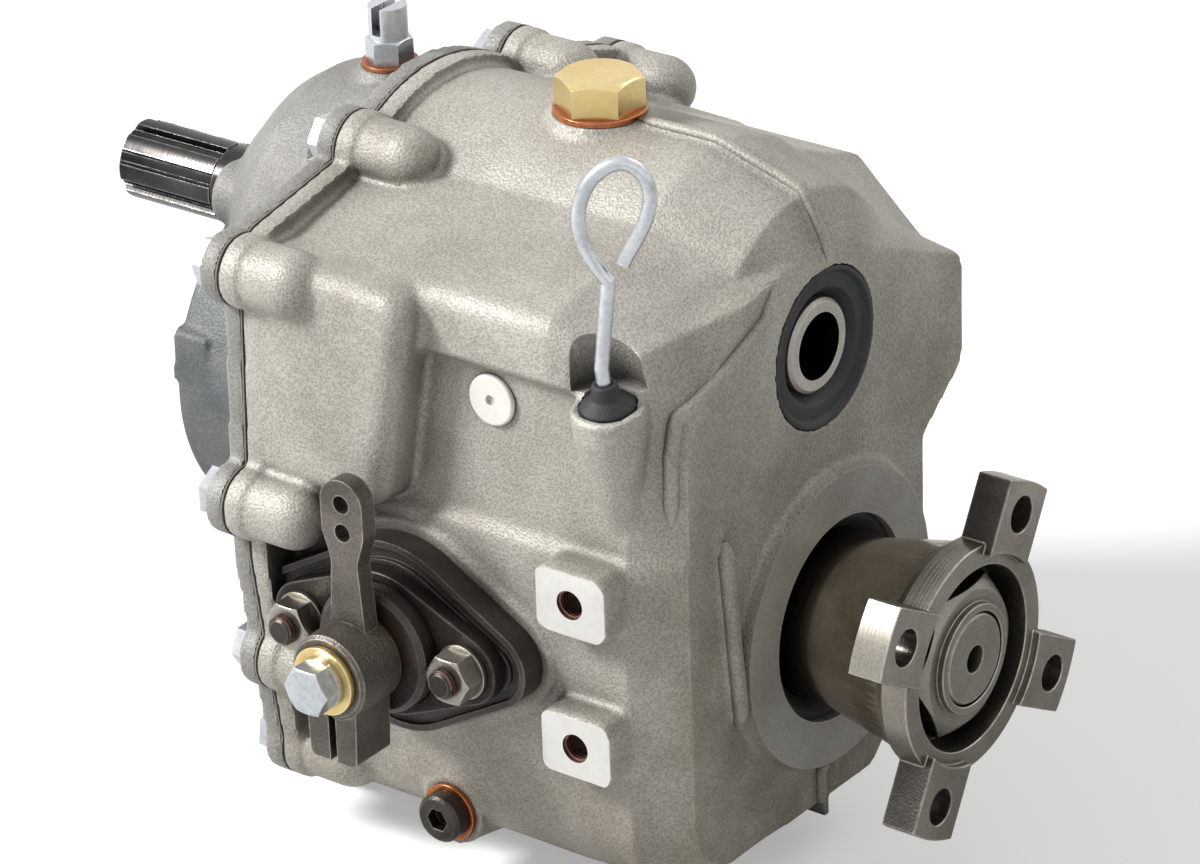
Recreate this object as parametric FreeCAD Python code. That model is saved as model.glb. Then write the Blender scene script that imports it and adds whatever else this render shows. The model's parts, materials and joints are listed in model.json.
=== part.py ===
# Marine reduction gearbox.
# Millimetres. +X runs aft along both shafts, +Z is up, -Y is the shift lever's side.
# The origin is on the input shaft's axis, in the plane of the face that bolts to the engine.

import FreeCAD, Part
import math
import os

V = FreeCAD.Vector
AXIS_X = V(1, 0, 0)
AXIS_Y = V(0, 1, 0)
AXIS_Z = V(0, 0, 1)

# Clearances
slip = 0.05          # a pin, bolt or plug in its hole
running = 0.05       # a shaft or gear that turns in its bore
seat_gap = 0.3       # soft or loose pieces beside their seats
mesh_backlash = 0.25  # thinning of each tooth at the pitch circle

# Gear trains
tooth_module = 2.5
pressure_angle = math.radians(20)
forward_pinion_teeth = 24
forward_gear_teeth = 41
reverse_pinion_teeth = 19
idler_teeth = 18
reverse_gear_teeth = 33
tooth_gap = 0.6       # root clearance of the teeth

centre_distance = tooth_module * (forward_pinion_teeth + forward_gear_teeth) / 2
output_z = -centre_distance

pinion_to_idler = tooth_module * (reverse_pinion_teeth + idler_teeth) / 2
idler_to_gear = tooth_module * (idler_teeth + reverse_gear_teeth) / 2
idler_z = (idler_to_gear ** 2 - pinion_to_idler ** 2 - centre_distance ** 2) / (2 * centre_distance)
idler_y = math.sqrt(pinion_to_idler ** 2 - idler_z ** 2)

# Lengthwise stations of the casing
front_x = 0.0
joint_x = 58.0
gasket_thick = 0.5
flange_thick = 6.0
rear_x = 190.0
output_face_x = 194.0
slope_x = 156.0       # the roof starts to fall here
flange_front_x = joint_x - flange_thick
flange_rear_x = joint_x + flange_thick
front_joint_x = joint_x - gasket_thick / 2
rear_joint_x = joint_x + gasket_thick / 2

# Casing cross-section
roof_r = 52.0
flange_roof_r = roof_r + 3.5
shoulder_y = -34.0
shoulder_z = 39.5
panel_y = -74.0       # flat side panel
band_y = -79.0        # the band above the panel
band_z = 29.0         # its upper edge
ledge_z = 10.5         # its lower edge
lower_side_y = -76.5  # the side below the panel
lower_side_z = -40.0
floor_z = -142.0
far_side_y = 68.5     # the side away from the lever
far_low_y = 63.0
far_low_z = -46.0
ear_top_z = 3.0       # the far side ends at the rear face in an ear
ear_low_z = -31.0
ear_x = 177.0
wall = 8.0
corner_rib_top_y = -51.5
corner_rib_low_y = -46.0

# Upper bulge beside the joint
bulge_y = -89.0
far_bulge_y = 79.0
far_top_z = 24.5
bulge_top_z = 31.0
bulge_low_z = -37.0
bulge_end_top_x = 116.5
bulge_end_low_x = 104.0

# Front drum and nose
drum_r = 53.0
drum_z = -43.0
drum_draft = 4.0
nose_r = 27.0
dome_r = 46.0
dome_x = 20.0

# Engine side bolt bosses
engine_boss_y = 23.5
engine_boss_z = 10.5  # two bosses opposite each other about the input shaft
engine_low_z = -88.0  # two more on the drum
engine_boss_r = 9.5
engine_hole_r = 2.5   # tapped M6
engine_low_hole_r = 3.4  # tapped M8
engine_hole_deep = 10.0   # it ends short of the bearing
engine_low_hole_deep = 18.0

# Joint bolts: M8, hexagon head
bolt_r = 4.0
bolt_af = 13.0
bolt_head = 5.0
spot_face_r = 8.4
bolt_lobe_r = 10.5
bolt_boss_r = 9.5
front_boss_proud = 0.4
blind_boss_x = 76.0
thread_deep_x = 77.0
bolt_end_x = 74.0
front_bolts = [
    (-35.0, 42.0), (-86.0, 24.0), (-90.5, -44.0), (-81.0, -96.0), (-72.5, -127.0), (6.0, -144.0),
    (54.0, -132.0), (78.0, -92.0), (87.0, -44.0), (83.0, 22.0), (38.0, 42.0)]
aft_bolt = (-48.4, -140.7)
aft_bolt_end_x = 44.0
dowels = [(-79.5, -70.0), (73.0, -12.0)]
dowel_r = 3.0
dowel_reach = 7.0

# Input shaft
spline_end_x = -55.5
spline_start_x = -19.0
spline_teeth = 8
spline_major_r = 12.0
spline_minor_r = 10.0
spline_land = 5.0
seal_journal_r = 13.5
input_journal_r = 15.0
input_body_r = 17.0
input_tail_r = 13.5
input_tail_bore_r = 9.6
input_tail_bore_deep = 30.0
input_tail_x = 188.0

# Bearings: bore radius is the journal's
small_bearing_r = 27.5
small_bearing_w = 14.0
output_front_bearing_r = 31.0
output_front_bearing_w = 14.0
output_rear_bearing_r = 40.0
output_rear_bearing_w = 18.0
front_bearing_x = 12.0
input_rear_bearing_x = 161.0
output_front_bearing_x = 41.0
output_rear_bearing_x = 157.0

# Seals
input_seal_r = 20.0
input_seal_w = 8.0
tail_seal_r = 23.0
tail_seal_lip_r = 15.4
tail_seal_w = 8.0
tail_seal_back = 1.5
output_seal_r = 30.0
output_seal_w = 9.0
output_seal_back = 2.5
output_boss_r = 44.0

# Clutch and output shaft
shift_x = 105.0
sleeve_half = 17.0
sleeve_r = 38.0
cone_land = 7.5
cone_angle = math.radians(8)
groove_half = 6.0
cup_mouth = 10.5
groove_r = 29.0
gear_face_gap = 0.4
output_core_r = 22.0
output_spline_r = 22.0
output_spline_root_r = 19.0
output_spline_teeth = 6
output_spline_land = 9.0
output_front_journal_r = 15.0
output_rear_journal_r = 20.0
coupling_shaft_r = 17.5
thread_r = 13.5
bush_thick = 3.0
cup_r = 43.0
reverse_face_w = 20.0
forward_face_w = 22.0
pinion_inset = 1.0

# Idler pin
idler_pin_r = 9.0
idler_pin_start_x = 38.0
idler_pin_end_x = 104.0

# Shift mechanism
shift_z = -74.75
shift_shaft_r = 7.0
eccentric = shift_z - output_z
lever_swing = math.radians(30)
shift_travel = eccentric * math.sin(lever_swing)
finger_r = 3.0
finger_play = 0.25
disc_r = 11.0
disc_y = -45.5
disc_thick = 5.0
finger_end_y = -34.0
block_deep_y = -30.5
block_out_y = -42.0
block_half_z = 8.0
pad_y = -78.0
pad_grow = 3.0
cover_thick = 8.0
cover_core_r = 28.5
cover_tip_r = 12.0
cover_tip_x = 33.0
cover_flat_x = flange_rear_x + 1.5
cover_spigot_r = 14.0
cover_spigot_deep_y = -53.0
cover_hub_r = 18.7
cover_hub_y = -97.0
flange_plate_thick = 5.0
flange_plate_core_r = 21.5
flange_plate_tip_r = 10.5
stud_offset = 28.0
stud_r = 4.0
stud_deep_y = -69.0
stud_out_y = -102.0
nut_high = 6.5
washer_thick = 1.5
washer_r = 8.0
bush_r = 9.0
copper_ring_r = 11.5
copper_ring_thick = 1.4
lever_hub_r = 12.5
lever_hub_w = 16.5
lever_hub_y = -98.7
lever_thick = 5.5
lever_plate_y = -99.7
lever_top = 55.5
lever_width = 13.0
lever_head_r = 7.2
lever_neck = 9.0
cable_hole_r = 2.6
cable_hole_pitch = 8.5
lever_tail = 26.0
clamp_slot = 2.4
lever_washer_r = 10.0
lever_washer_thick = 2.0
lever_bolt_head = 5.5
lever_bolt_af = 13.0
lever_bolt_in = 14.0

# Output coupling
coupling_face_x = 240.0
coupling_back_x = 185.0
hub_back_r = 24.5
hub_front_r = 30.0
flare_x = 200.0
lug_thick = 10.5
pilot_r = 30.0
ring_back = 2.5
recess_r = 26.5
recess_deep = 13.0
lug_pcd = 82.55
lug_hole_r = 5.25
lug_reach_r = 50.8
lug_width = 21.0
lug_count = 4
lug_first_deg = 60.7
coupling_nut_af = 41.0
coupling_nut_high = 9.0
nut_collar_r = 15.8
nut_collar_high = 2.0
output_end_x = coupling_face_x - recess_deep + nut_collar_high + coupling_nut_high
centre_hole_r = 4.0
centre_hole_deep = 8.0

# Filler plug, breather, drain, side plug
filler_x = 116.2
filler_boss_r = 14.0
filler_boss_z = roof_r + 1.0
filler_af = 22.0
filler_high = 9.5
filler_thread_r = 9.0
filler_thread_deep = 12.0
filler_washer_r = 13.2
filler_washer_thick = 1.6
breather_x = 42.3
breather_boss_r = 9.0
breather_boss_z = roof_r - 1.0
breather_af = 12.0
breather_hex_high = 7.0
breather_thread_r = 5.0
breather_thread_deep = 9.0
breather_stem_r = 5.6
breather_stem_high = 9.6
breather_slot = 3.0
breather_slot_deep = 8.0
breather_washer_r = 8.2
breather_washer_thick = 1.2
drain_x = 114.6
drain_z = -131.0
drain_boss_r = 10.5
drain_boss_y = -77.0
drain_washer_r = 8.6
drain_washer_thick = 1.6
drain_head_r = 7.2
drain_head_high = 5.0
drain_thread_r = 5.0
drain_thread_deep = 10.0
drain_socket_af = 6.0
drain_socket_deep = 3.5
side_plug_x = 134.0
side_plug_z = 0.0
side_plug_r = 7.4
side_plug_high = 1.6
side_plug_stem_r = 4.5
side_plug_stem = 5.0
side_plug_mark_r = 1.5

# Bracket pads on the side
bracket_x = 166.2
bracket_face_y = -86.0
bracket_upper_z = -47.5
bracket_lower_z = -91.0
bracket_wide = 24.0
bracket_high = 19.5
bracket_corner_r = 4.5
bracket_hole_r = 4.25
bracket_hole_deep = 17.0

# Dipstick
stick_x = 174.0
stick_y = -76.6
stick_rim_z = 11.0
stick_tilt = math.radians(10)
stick_boss_r = 10.3
stick_boss_low = 42.0
bung_r = 7.6
bung_deep = 11.0
bung_proud = 4.0
stick_well_r = 2.6
stick_wire_r = 2.0
stick_blade_r = 1.6
stick_below = 96.0
stick_straight = 25.0
stick_lean = 2.5
loop_left = 7.0
loop_right = 11.5
loop_high = 33.0


# Basic shapes

def cylinder(axis, start, radius, length):
    return Part.makeCylinder(radius, length, start, axis)


def tube_x(outer, inner, x0, x1, y=0.0, z=0.0):
    ring = cylinder(AXIS_X, V(x0, y, z), outer, x1 - x0)
    hole = cylinder(AXIS_X, V(x0 - 1, y, z), inner, x1 - x0 + 2)
    return ring.cut(hole)


def rod_x(radius, x0, x1, y=0.0, z=0.0):
    return cylinder(AXIS_X, V(x0, y, z), radius, x1 - x0)


def rod_y(radius, y0, y1, x, z):
    return cylinder(AXIS_Y, V(x, y0, z), radius, y1 - y0)


def rod_z(radius, z0, z1, x, y):
    return cylinder(AXIS_Z, V(x, y, z0), radius, z1 - z0)


def block(x0, x1, y0, y1, z0, z1):
    return Part.makeBox(x1 - x0, y1 - y0, z1 - z0, V(x0, y0, z0))


def turned(points, axis_start, axis):
    """Solid of revolution. Each point is (distance along the axis, radius)."""
    side = AXIS_Y if abs(axis.y) < 0.5 else AXIS_X
    corners = [axis_start + axis * along + side * radius for along, radius in points]
    outline = Part.makePolygon(corners + [corners[0]])
    return Part.Face(outline).revolve(axis_start, axis, 360)


def hexagon(axis, start, across_flats, height):
    side = AXIS_Z if abs(axis.z) < 0.5 else AXIS_X
    other = axis.cross(side)
    corner = across_flats / math.sqrt(3)
    corners = []
    for k in range(7):
        turn = math.radians(60 * k + 30)
        corners.append(start + side * (corner * math.cos(turn)) + other * (corner * math.sin(turn)))
    return Part.Face(Part.makePolygon(corners)).extrude(axis * height)


def chamfered_hexagon(axis, start, across_flats, height):
    """Hexagon head whose outer corners are turned off at about 30 degrees."""
    body = hexagon(axis, start, across_flats, height)
    corner = across_flats / math.sqrt(3)
    flat = across_flats / 2 * 0.95
    drop = (corner - flat) * math.tan(math.radians(30))
    turned_off = turned([(0, 0), (0, corner + 0.01), (height - drop, corner + 0.01), (height, flat),
                         (height, 0)],
                        start, axis)
    return body.common(turned_off)


def place(plane, across, up, depth):
    """Point on a plane across X ('x': y, z), across Y ('y': x, z) or across Z ('z': x, y)."""
    if plane == "x":
        return V(depth, across, up)
    if plane == "y":
        return V(across, depth, up)
    return V(across, up, depth)


def rounded_outline(plane, depth, corners):
    """Closed wire with rounded corners. Each corner is (across, up, radius)."""
    count = len(corners)
    edges = []
    starts = []
    ends = []
    arcs = []
    for k in range(count):
        across, up, radius = corners[k]
        here = place(plane, across, up, depth)
        before = place(plane, corners[k - 1][0], corners[k - 1][1], depth)
        after = place(plane, corners[(k + 1) % count][0], corners[(k + 1) % count][1], depth)
        to_before = (before - here).normalize()
        to_after = (after - here).normalize()
        half = to_before.getAngle(to_after) / 2
        reach = radius / math.tan(half)
        middle = (to_before + to_after).normalize()
        centre = here + middle * (radius / math.sin(half))
        starts.append(here + to_before * reach)
        ends.append(here + to_after * reach)
        arcs.append(centre - middle * radius)
    for k in range(count):
        edges.append(Part.Arc(starts[k], arcs[k], ends[k]).toShape())
        edges.append(Part.LineSegment(ends[k], starts[(k + 1) % count]).toShape())
    return Part.Wire(edges)


def prism(plane, depth0, depth1, corners):
    face = Part.Face(rounded_outline(plane, depth0, corners))
    return face.extrude(place(plane, 0, 0, depth1 - depth0))


def lofted(sections):
    """Solid through rounded outlines across X. Each section is (x, corners)."""
    wires = [rounded_outline("x", x, corners) for x, corners in sections]
    return Part.makeLoft(wires, True, True)


def lozenge(y0, y1, x, z, core_r, tip_r, tip_x):
    """Diamond plate across Y: a round middle joined by straight sides to two round tips."""
    lean = math.acos((core_r - tip_r) / tip_x)
    plate = rod_y(core_r, y0, y1, x, z)
    for side in (-1, 1):
        corners = []
        for up in (1, -1):
            normal = V(side * math.cos(lean), 0, up * math.sin(lean))
            corners.append(V(x, y0, z) + normal * core_r)
            corners.append(V(x + side * tip_x, y0, z) + normal * tip_r)
        ordered = [corners[0], corners[1], corners[3], corners[2], corners[0]]
        web = Part.Face(Part.makePolygon(ordered)).extrude(V(0, y1 - y0, 0))
        plate = plate.fuse(web).fuse(rod_y(tip_r, y0, y1, x + side * tip_x, z))
    return plate.removeSplitter()


def fuse_all(shapes):
    return shapes[0].fuse(shapes[1:]).removeSplitter()


def cut_all(shape, tools):
    return shape.cut(tools)


# Casing

def body_section():
    """Corners of the casing below its round roof, seen from aft, from the top left anticlockwise."""
    return [
        (shoulder_y, shoulder_z, 3), (band_y, band_z, 7), (band_y, ledge_z + 1.5, 1.5),
        (panel_y, ledge_z - 2, 1.5), (panel_y, lower_side_z + 4, 2), (lower_side_y, lower_side_z, 2),
        (lower_side_y, floor_z, 22), (22, floor_z, 14), (50, floor_z + 24, 18), (far_low_y, -94, 18),
        (far_low_y, far_low_z, 6), (far_side_y, ear_low_z, 7), (far_side_y, far_top_z, 7), (36, 37.5, 4)]


def rear_end_section():
    """Corners of the rear face: its upper corners are cut off and the sides draw in."""
    return [
        (-16, 30, 3), (-37, 27, 5), (-58, 5, 5),
        (-64, -9, 4), (-64, lower_side_z + 5, 2), (-65, lower_side_z, 2),
        (-65, floor_z + 5, 20), (20, floor_z + 3, 12), (42, floor_z + 28, 14), (47, -95, 14),
        (47, -46, 6), (far_side_y - 1.5, ear_low_z + 1, 6), (far_side_y - 1.5, ear_top_z, 5), (30, 18, 4)]


def ear_section():
    """Corners of the section where the ear starts: the roof has come down and the sides are still straight."""
    return [
        (-26, 35, 3), (band_y + 4, 20, 6), (band_y + 4, ledge_z, 1.5),
        (panel_y, ledge_z - 5, 1.5), (panel_y, lower_side_z + 4, 2), (lower_side_y, lower_side_z, 2),
        (lower_side_y + 0.5, floor_z + 1, 22), (22, floor_z + 1, 14), (46, floor_z + 26, 14), (52, -94, 14),
        (52, -46, 6), (far_side_y - 0.5, ear_low_z, 6), (far_side_y - 0.5, ear_top_z + 1, 5), (33, 28, 4)]


def flange_outline():
    return [
        (shoulder_y, shoulder_z + 4, 6), (-86, 33.5, 9), (-91, -60, 60), (-82, -126, 16), (-54, -148, 14),
        (4, -149, 30), (50, -143, 18), (80, -100, 24), (88, -50, 24), (84, 32, 12), (50, 42, 8), (36, 44, 4)]


def joint_flange(x0, x1):
    """The joint flange: the outline, the arc over the input shaft and a lobe round each bolt."""
    shapes = [prism("x", x0, x1, flange_outline()), rod_x(flange_roof_r, x0, x1)]
    for y, z in front_bolts + [aft_bolt]:
        shapes.append(rod_x(bolt_lobe_r, x0, x1, y, z))
    return fuse_all(shapes)


def gear_space(x0, x1):
    """Room for the gears: it is the same on both sides of the joint."""
    idler_space_r = tooth_module * (idler_teeth / 2 + 1) + 1.5
    output_space_r = tooth_module * (forward_gear_teeth / 2 + 1) + 1.5
    shapes = [
        rod_x(roof_r - wall, x0, x1),
        rod_x(output_space_r, x0, x1, 0, output_z),
        rod_x(idler_space_r, x0, min(x1, shift_x - sleeve_half), idler_y, idler_z)]
    return fuse_all(shapes)


def oil_space():
    """Room beside the gears on the lever's side, and inside the bulge."""
    shapes = [
        prism("x", rear_joint_x - 1, input_rear_bearing_x - 9,
              [(-22, 22, 6), (panel_y + wall, 14, 8), (panel_y + wall, floor_z + 26, 14),
               (-22, floor_z + 16, 8)]),
        prism("x", rear_joint_x - 1, bulge_end_low_x - 6,
              [(-50, 22, 6), (bulge_y + wall, 22, 8), (bulge_y + wall, bulge_low_z + wall, 8),
               (-50, bulge_low_z + wall, 6)]),
        prism("x", input_rear_bearing_x - 12, ear_x + 3,
              [(-52, 0, 5), (panel_y + wall, -6, 5), (panel_y + wall, floor_z + 28, 5),
               (-52, floor_z + 26, 4)])]
    return fuse_all(shapes)


def roof_shell():
    """Round roof over the input shaft: level, then falling to the rear face."""
    return turned([(rear_joint_x, 0), (rear_joint_x, roof_r), (slope_x, roof_r), (183, roof_r - 8.5),
                   (rear_x - 1.5, roof_r - 19), (rear_x, roof_r - 21), (rear_x, 0)], V(0, 0, 0), AXIS_X)


def bulge(outer_y, inner_y, top_z):
    """Bulge of one upper side next to the joint, with a leaning aft end."""
    side = prism("y", inner_y, outer_y, [
        (rear_joint_x, bulge_low_z, 0.5), (rear_joint_x, top_z, 0.5), (bulge_end_top_x, top_z - 2, 8),
        (bulge_end_low_x, bulge_low_z, 8)])
    edges = []
    for edge in side.Edges:
        box = edge.BoundBox
        if abs(box.YMax - outer_y) < 0.1 and abs(box.YMin - outer_y) < 0.1 and box.XMax > rear_joint_x + 1:
            edges.append(edge)
    return side.makeFillet(6, edges)


def blind_bosses():
    """Round-ended bosses behind the joint, one for each bolt that comes from the front."""
    shapes = []
    for y, z in front_bolts:
        shapes.append(rod_x(bolt_boss_r, rear_joint_x, blind_boss_x, y, z))
        shapes.append(Part.makeSphere(bolt_boss_r, V(blind_boss_x, y, z)))
    return shapes


def bracket_pads():
    shapes = []
    for z in (bracket_upper_z, bracket_lower_z):
        half_w = bracket_wide / 2
        half_h = bracket_high / 2
        shapes.append(prism("y", -68, bracket_face_y, [
            (bracket_x - half_w, z - half_h, bracket_corner_r),
            (bracket_x + half_w, z - half_h, bracket_corner_r),
            (bracket_x + half_w, z + half_h, bracket_corner_r),
            (bracket_x - half_w, z + half_h, bracket_corner_r)]))
    return shapes


def stick_axis():
    """Unit vector up along the dipstick, leaning outwards."""
    return V(0, -math.sin(stick_tilt), math.cos(stick_tilt))


def stick_mouth():
    return V(stick_x, stick_y, stick_rim_z)


def dipstick_boss():
    """Boss that tapers down into the side panel."""
    return turned([(0, 0), (0, stick_boss_r), (-7, stick_boss_r), (-stick_boss_low, 4.2),
                   (-stick_boss_low, 0)],
                  stick_mouth(), stick_axis())


def dipstick_hole():
    bore = turned([(1, 0), (1, bung_r + slip), (-bung_deep, bung_r + slip), (-bung_deep, 0)],
                  stick_mouth(), stick_axis())
    well = cylinder(stick_axis(), stick_mouth() - stick_axis() * (stick_below + 2), stick_well_r,
                    stick_below + 2)
    return bore.fuse(well)


def parting_ribs():
    """Thin ribs on the casting's centre line and on its rear left corner."""
    half = 1.4
    start_x = filler_x + filler_washer_r
    roof = turned([(start_x, 0), (start_x, roof_r + 1.4), (slope_x, roof_r + 1.4), (183.5, roof_r - 7),
                   (rear_x + 0.5, roof_r - 20.5), (rear_x + 1.4, roof_r - 26), (rear_x + 1.4, 0)],
                   V(0, 0, 0), AXIS_X)
    roof = roof.common(block(start_x, rear_x + 2, -half, half, 24, roof_r + 2))
    below = block(rear_x - 4, rear_x + 1.4, -half, half, floor_z + 6, output_z - output_boss_r + 2)
    keel = block(rear_x - 14, rear_x - 2, -half, half, floor_z - 4, floor_z + 10)
    corner = prism("x", rear_x - 4, rear_x + 1.4, [
        (corner_rib_top_y - half, -34, 0.5), (corner_rib_low_y - half, -93, 0.5),
        (corner_rib_low_y + half, -93, 0.5), (corner_rib_top_y + half, -34, 0.5)])
    return [roof, below, keel, corner]


def rear_housing_outside():
    main = lofted([(rear_joint_x, body_section()), (slope_x, body_section()), (ear_x, ear_section()),
                   (rear_x, rear_end_section())])
    shapes = [main, roof_shell(), bulge(bulge_y, -60, bulge_top_z), bulge(far_bulge_y, 55, far_top_z - 1),
              joint_flange(rear_joint_x, flange_rear_x)]
    shapes += blind_bosses()
    shapes += bracket_pads()
    shapes += parting_ribs()
    shapes.append(dipstick_boss())
    shapes.append(turned([(rear_x - 14, 0), (rear_x - 14, output_boss_r + 8), (rear_x - 2, output_boss_r + 2),
                          (output_face_x - 1.2, output_boss_r), (output_face_x, output_boss_r - 1.2),
                          (output_face_x, 0)], V(0, 0, output_z), AXIS_X))
    shapes.append(turned([(40, 0), (40, filler_boss_r + 3), (roof_r - 3, filler_boss_r + 2),
                          (roof_r, filler_boss_r),
                          (filler_boss_z, filler_boss_r), (filler_boss_z, 0)], V(filler_x, 0, 0), AXIS_Z))
    shapes.append(lozenge(pad_y, -66, shift_x, shift_z, cover_core_r + pad_grow, cover_tip_r + pad_grow,
                          cover_tip_x))
    shapes.append(turned([(-56, 0), (-56, drain_boss_r + 3), (drain_boss_y + 3, drain_boss_r),
                          (drain_boss_y, drain_boss_r), (drain_boss_y, 0)], V(drain_x, 0, drain_z), AXIS_Y))
    return fuse_all(shapes).cut(block(0, rear_joint_x, -200, 200, -300, 200))


def rear_housing():
    shell = rear_housing_outside()
    inside = gear_space(rear_joint_x - 1, input_rear_bearing_x - 9)
    web_x = shift_x - sleeve_half
    inside = inside.cut(rod_x(idler_pin_r + 5, web_x, idler_pin_end_x + 2, idler_y, idler_z))
    tools = [inside, oil_space()]
    tools.append(rod_x(small_bearing_r + slip, input_rear_bearing_x - 12,
                       input_rear_bearing_x + small_bearing_w))
    tools.append(rod_x(tail_seal_r - 3, input_rear_bearing_x - 12, rear_x))
    tools.append(rod_x(tail_seal_r + slip, rear_x - tail_seal_w - tail_seal_back, rear_x + 2))
    rear_seat_end = output_rear_bearing_x + output_rear_bearing_w
    tools.append(rod_x(output_rear_bearing_r + slip, output_rear_bearing_x - 12, rear_seat_end, 0, output_z))
    tools.append(rod_x(output_seal_r - 3, output_rear_bearing_x, output_face_x, 0, output_z))
    tools.append(rod_x(output_seal_r + slip, output_face_x - output_seal_back - output_seal_w,
                       output_face_x + 2,
                       0, output_z))
    for y, z in front_bolts:
        tools.append(rod_x(bolt_r + slip, rear_joint_x - 1, thread_deep_x, y, z))
    tools.append(rod_x(bolt_r + slip, rear_joint_x - 1, flange_rear_x + 1, *aft_bolt))
    tools.append(rod_x(spot_face_r, flange_rear_x, flange_rear_x + 14, *aft_bolt))
    tools.append(lozenge(pad_y - 40, pad_y, shift_x, shift_z, cover_core_r + 0.8, cover_tip_r + 0.8,
                         cover_tip_x).common(
        block(cover_flat_x - 0.5, 200, -200, 0, -200, 0)))
    for y, z in dowels:
        tools.append(rod_x(dowel_r + slip, rear_joint_x - 1, joint_x + dowel_reach, y, z))
    tools.append(rod_x(idler_pin_r + slip, web_x - 2, idler_pin_end_x, idler_y, idler_z))
    tools.append(rod_y(cover_spigot_r + slip, pad_y - 1, -50, shift_x, shift_z))
    for side in (-1, 1):
        tools.append(rod_y(stud_r + slip, pad_y - 1, stud_deep_y, shift_x + side * stud_offset, shift_z))
    for z in (bracket_upper_z, bracket_lower_z):
        tools.append(rod_y(bracket_hole_r, bracket_face_y - 1, bracket_face_y + bracket_hole_deep,
                           bracket_x, z))
    tools.append(rod_z(filler_thread_r + slip, roof_r - wall - 8, filler_boss_z + 2, filler_x, 0))
    tools.append(rod_y(drain_thread_r + slip, drain_boss_y - 1, drain_boss_y + drain_thread_deep + 4,
                       drain_x, drain_z))
    tools.append(rod_y(drain_thread_r - 1.2, drain_boss_y - 1, -18, drain_x, drain_z))
    tools.append(rod_y(side_plug_stem_r + slip, panel_y - 1, panel_y + side_plug_stem + 0.5,
                       side_plug_x, side_plug_z))
    tools.append(dipstick_hole())
    tools.append(cylinder(stick_axis(), stick_mouth(), stick_boss_r + 0.5, 40))
    return cut_all(shell, tools)


def front_housing_outside():
    drum = turned([(front_x, 0), (front_x, drum_r - 1.5), (front_x + 1.5, drum_r),
                   (flange_front_x, drum_r + drum_draft),
                   (front_joint_x, drum_r + drum_draft), (front_joint_x, 0)], V(0, 0, drum_z), AXIS_X)
    nose = turned([(front_x, 0), (front_x, nose_r - 1), (front_x + 1, nose_r), (dome_x - 6, dome_r - 5),
                   (dome_x + 2, dome_r), (flange_front_x, roof_r - 1), (front_joint_x, roof_r - 1),
                   (front_joint_x, 0)], V(0, 0, 0), AXIS_X)
    lower_r = output_front_bearing_r + wall
    lower = turned([(30, 0), (30, lower_r - 2), (32, lower_r), (flange_front_x, lower_r + 6),
                    (front_joint_x, lower_r + 6), (front_joint_x, 0)], V(0, 0, output_z), AXIS_X)
    idler = turned([(26, 0), (26, 15), (28, 17), (front_joint_x, 19), (front_joint_x, 0)],
                   V(0, idler_y, idler_z), AXIS_X)
    shapes = [drum, nose, lower, idler, joint_flange(flange_front_x, front_joint_x)]
    shapes.append(prism("x", flange_front_x - 6, flange_front_x + 1, [
        (-70, 20, 16), (-78, -36, 30), (-84, -74, 24), (-66, -122, 24), (0, -136, 30), (56, -112, 24),
        (74, -30, 24), (66, 18, 16)]))
    for side in (-1, 1):
        for z in (-side * engine_boss_z, engine_low_z):
            shapes.append(turned([(front_x, 0), (front_x, engine_boss_r - 1), (front_x + 1, engine_boss_r),
                                  (30, engine_boss_r + 2), (30, 0)], V(0, side * engine_boss_y, z), AXIS_X))
    for y, z in front_bolts:
        shapes.append(rod_x(bolt_boss_r, flange_front_x - front_boss_proud, flange_front_x + 1, y, z))
    shapes.append(rod_x(bolt_boss_r, flange_front_x - 12, flange_front_x + 1, *aft_bolt))
    shapes.append(turned([(38, 0), (38, breather_boss_r + 3), (breather_boss_z - 2, breather_boss_r + 1),
                          (breather_boss_z, breather_boss_r), (breather_boss_z, 0)], V(breather_x, 0, 0),
                          AXIS_Z))
    shapes.append(prism("x", front_x, front_x + 12, [
        (-53.5, -38, 2), (-40, -38, 1), (-40, -22, 1), (-52, -22, 2)]))
    return fuse_all(shapes)


def front_space():
    """Hollow of the front casting. Bosses stay round the bearings, the idler pin and the engine's screws."""
    core = rod_x(drum_r - wall, front_x + wall + 1, front_joint_x + 1, 0, drum_z)
    core = core.fuse(rod_x(roof_r - wall - 6, front_bearing_x + small_bearing_w + 6, front_joint_x + 1))
    bosses = [
        rod_x(small_bearing_r + wall, front_x, front_bearing_x + small_bearing_w + 7),
        rod_x(output_front_bearing_r + wall, output_front_bearing_x - 11, front_joint_x + 2, 0, output_z),
        rod_x(idler_pin_r + wall, idler_pin_start_x - 12, front_joint_x + 2, idler_y, idler_z)]
    for side in (-1, 1):
        bosses.append(rod_x(engine_boss_r, front_x, engine_low_hole_deep + 5, side * engine_boss_y,
                            engine_low_z))
    return core.cut(bosses)


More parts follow.
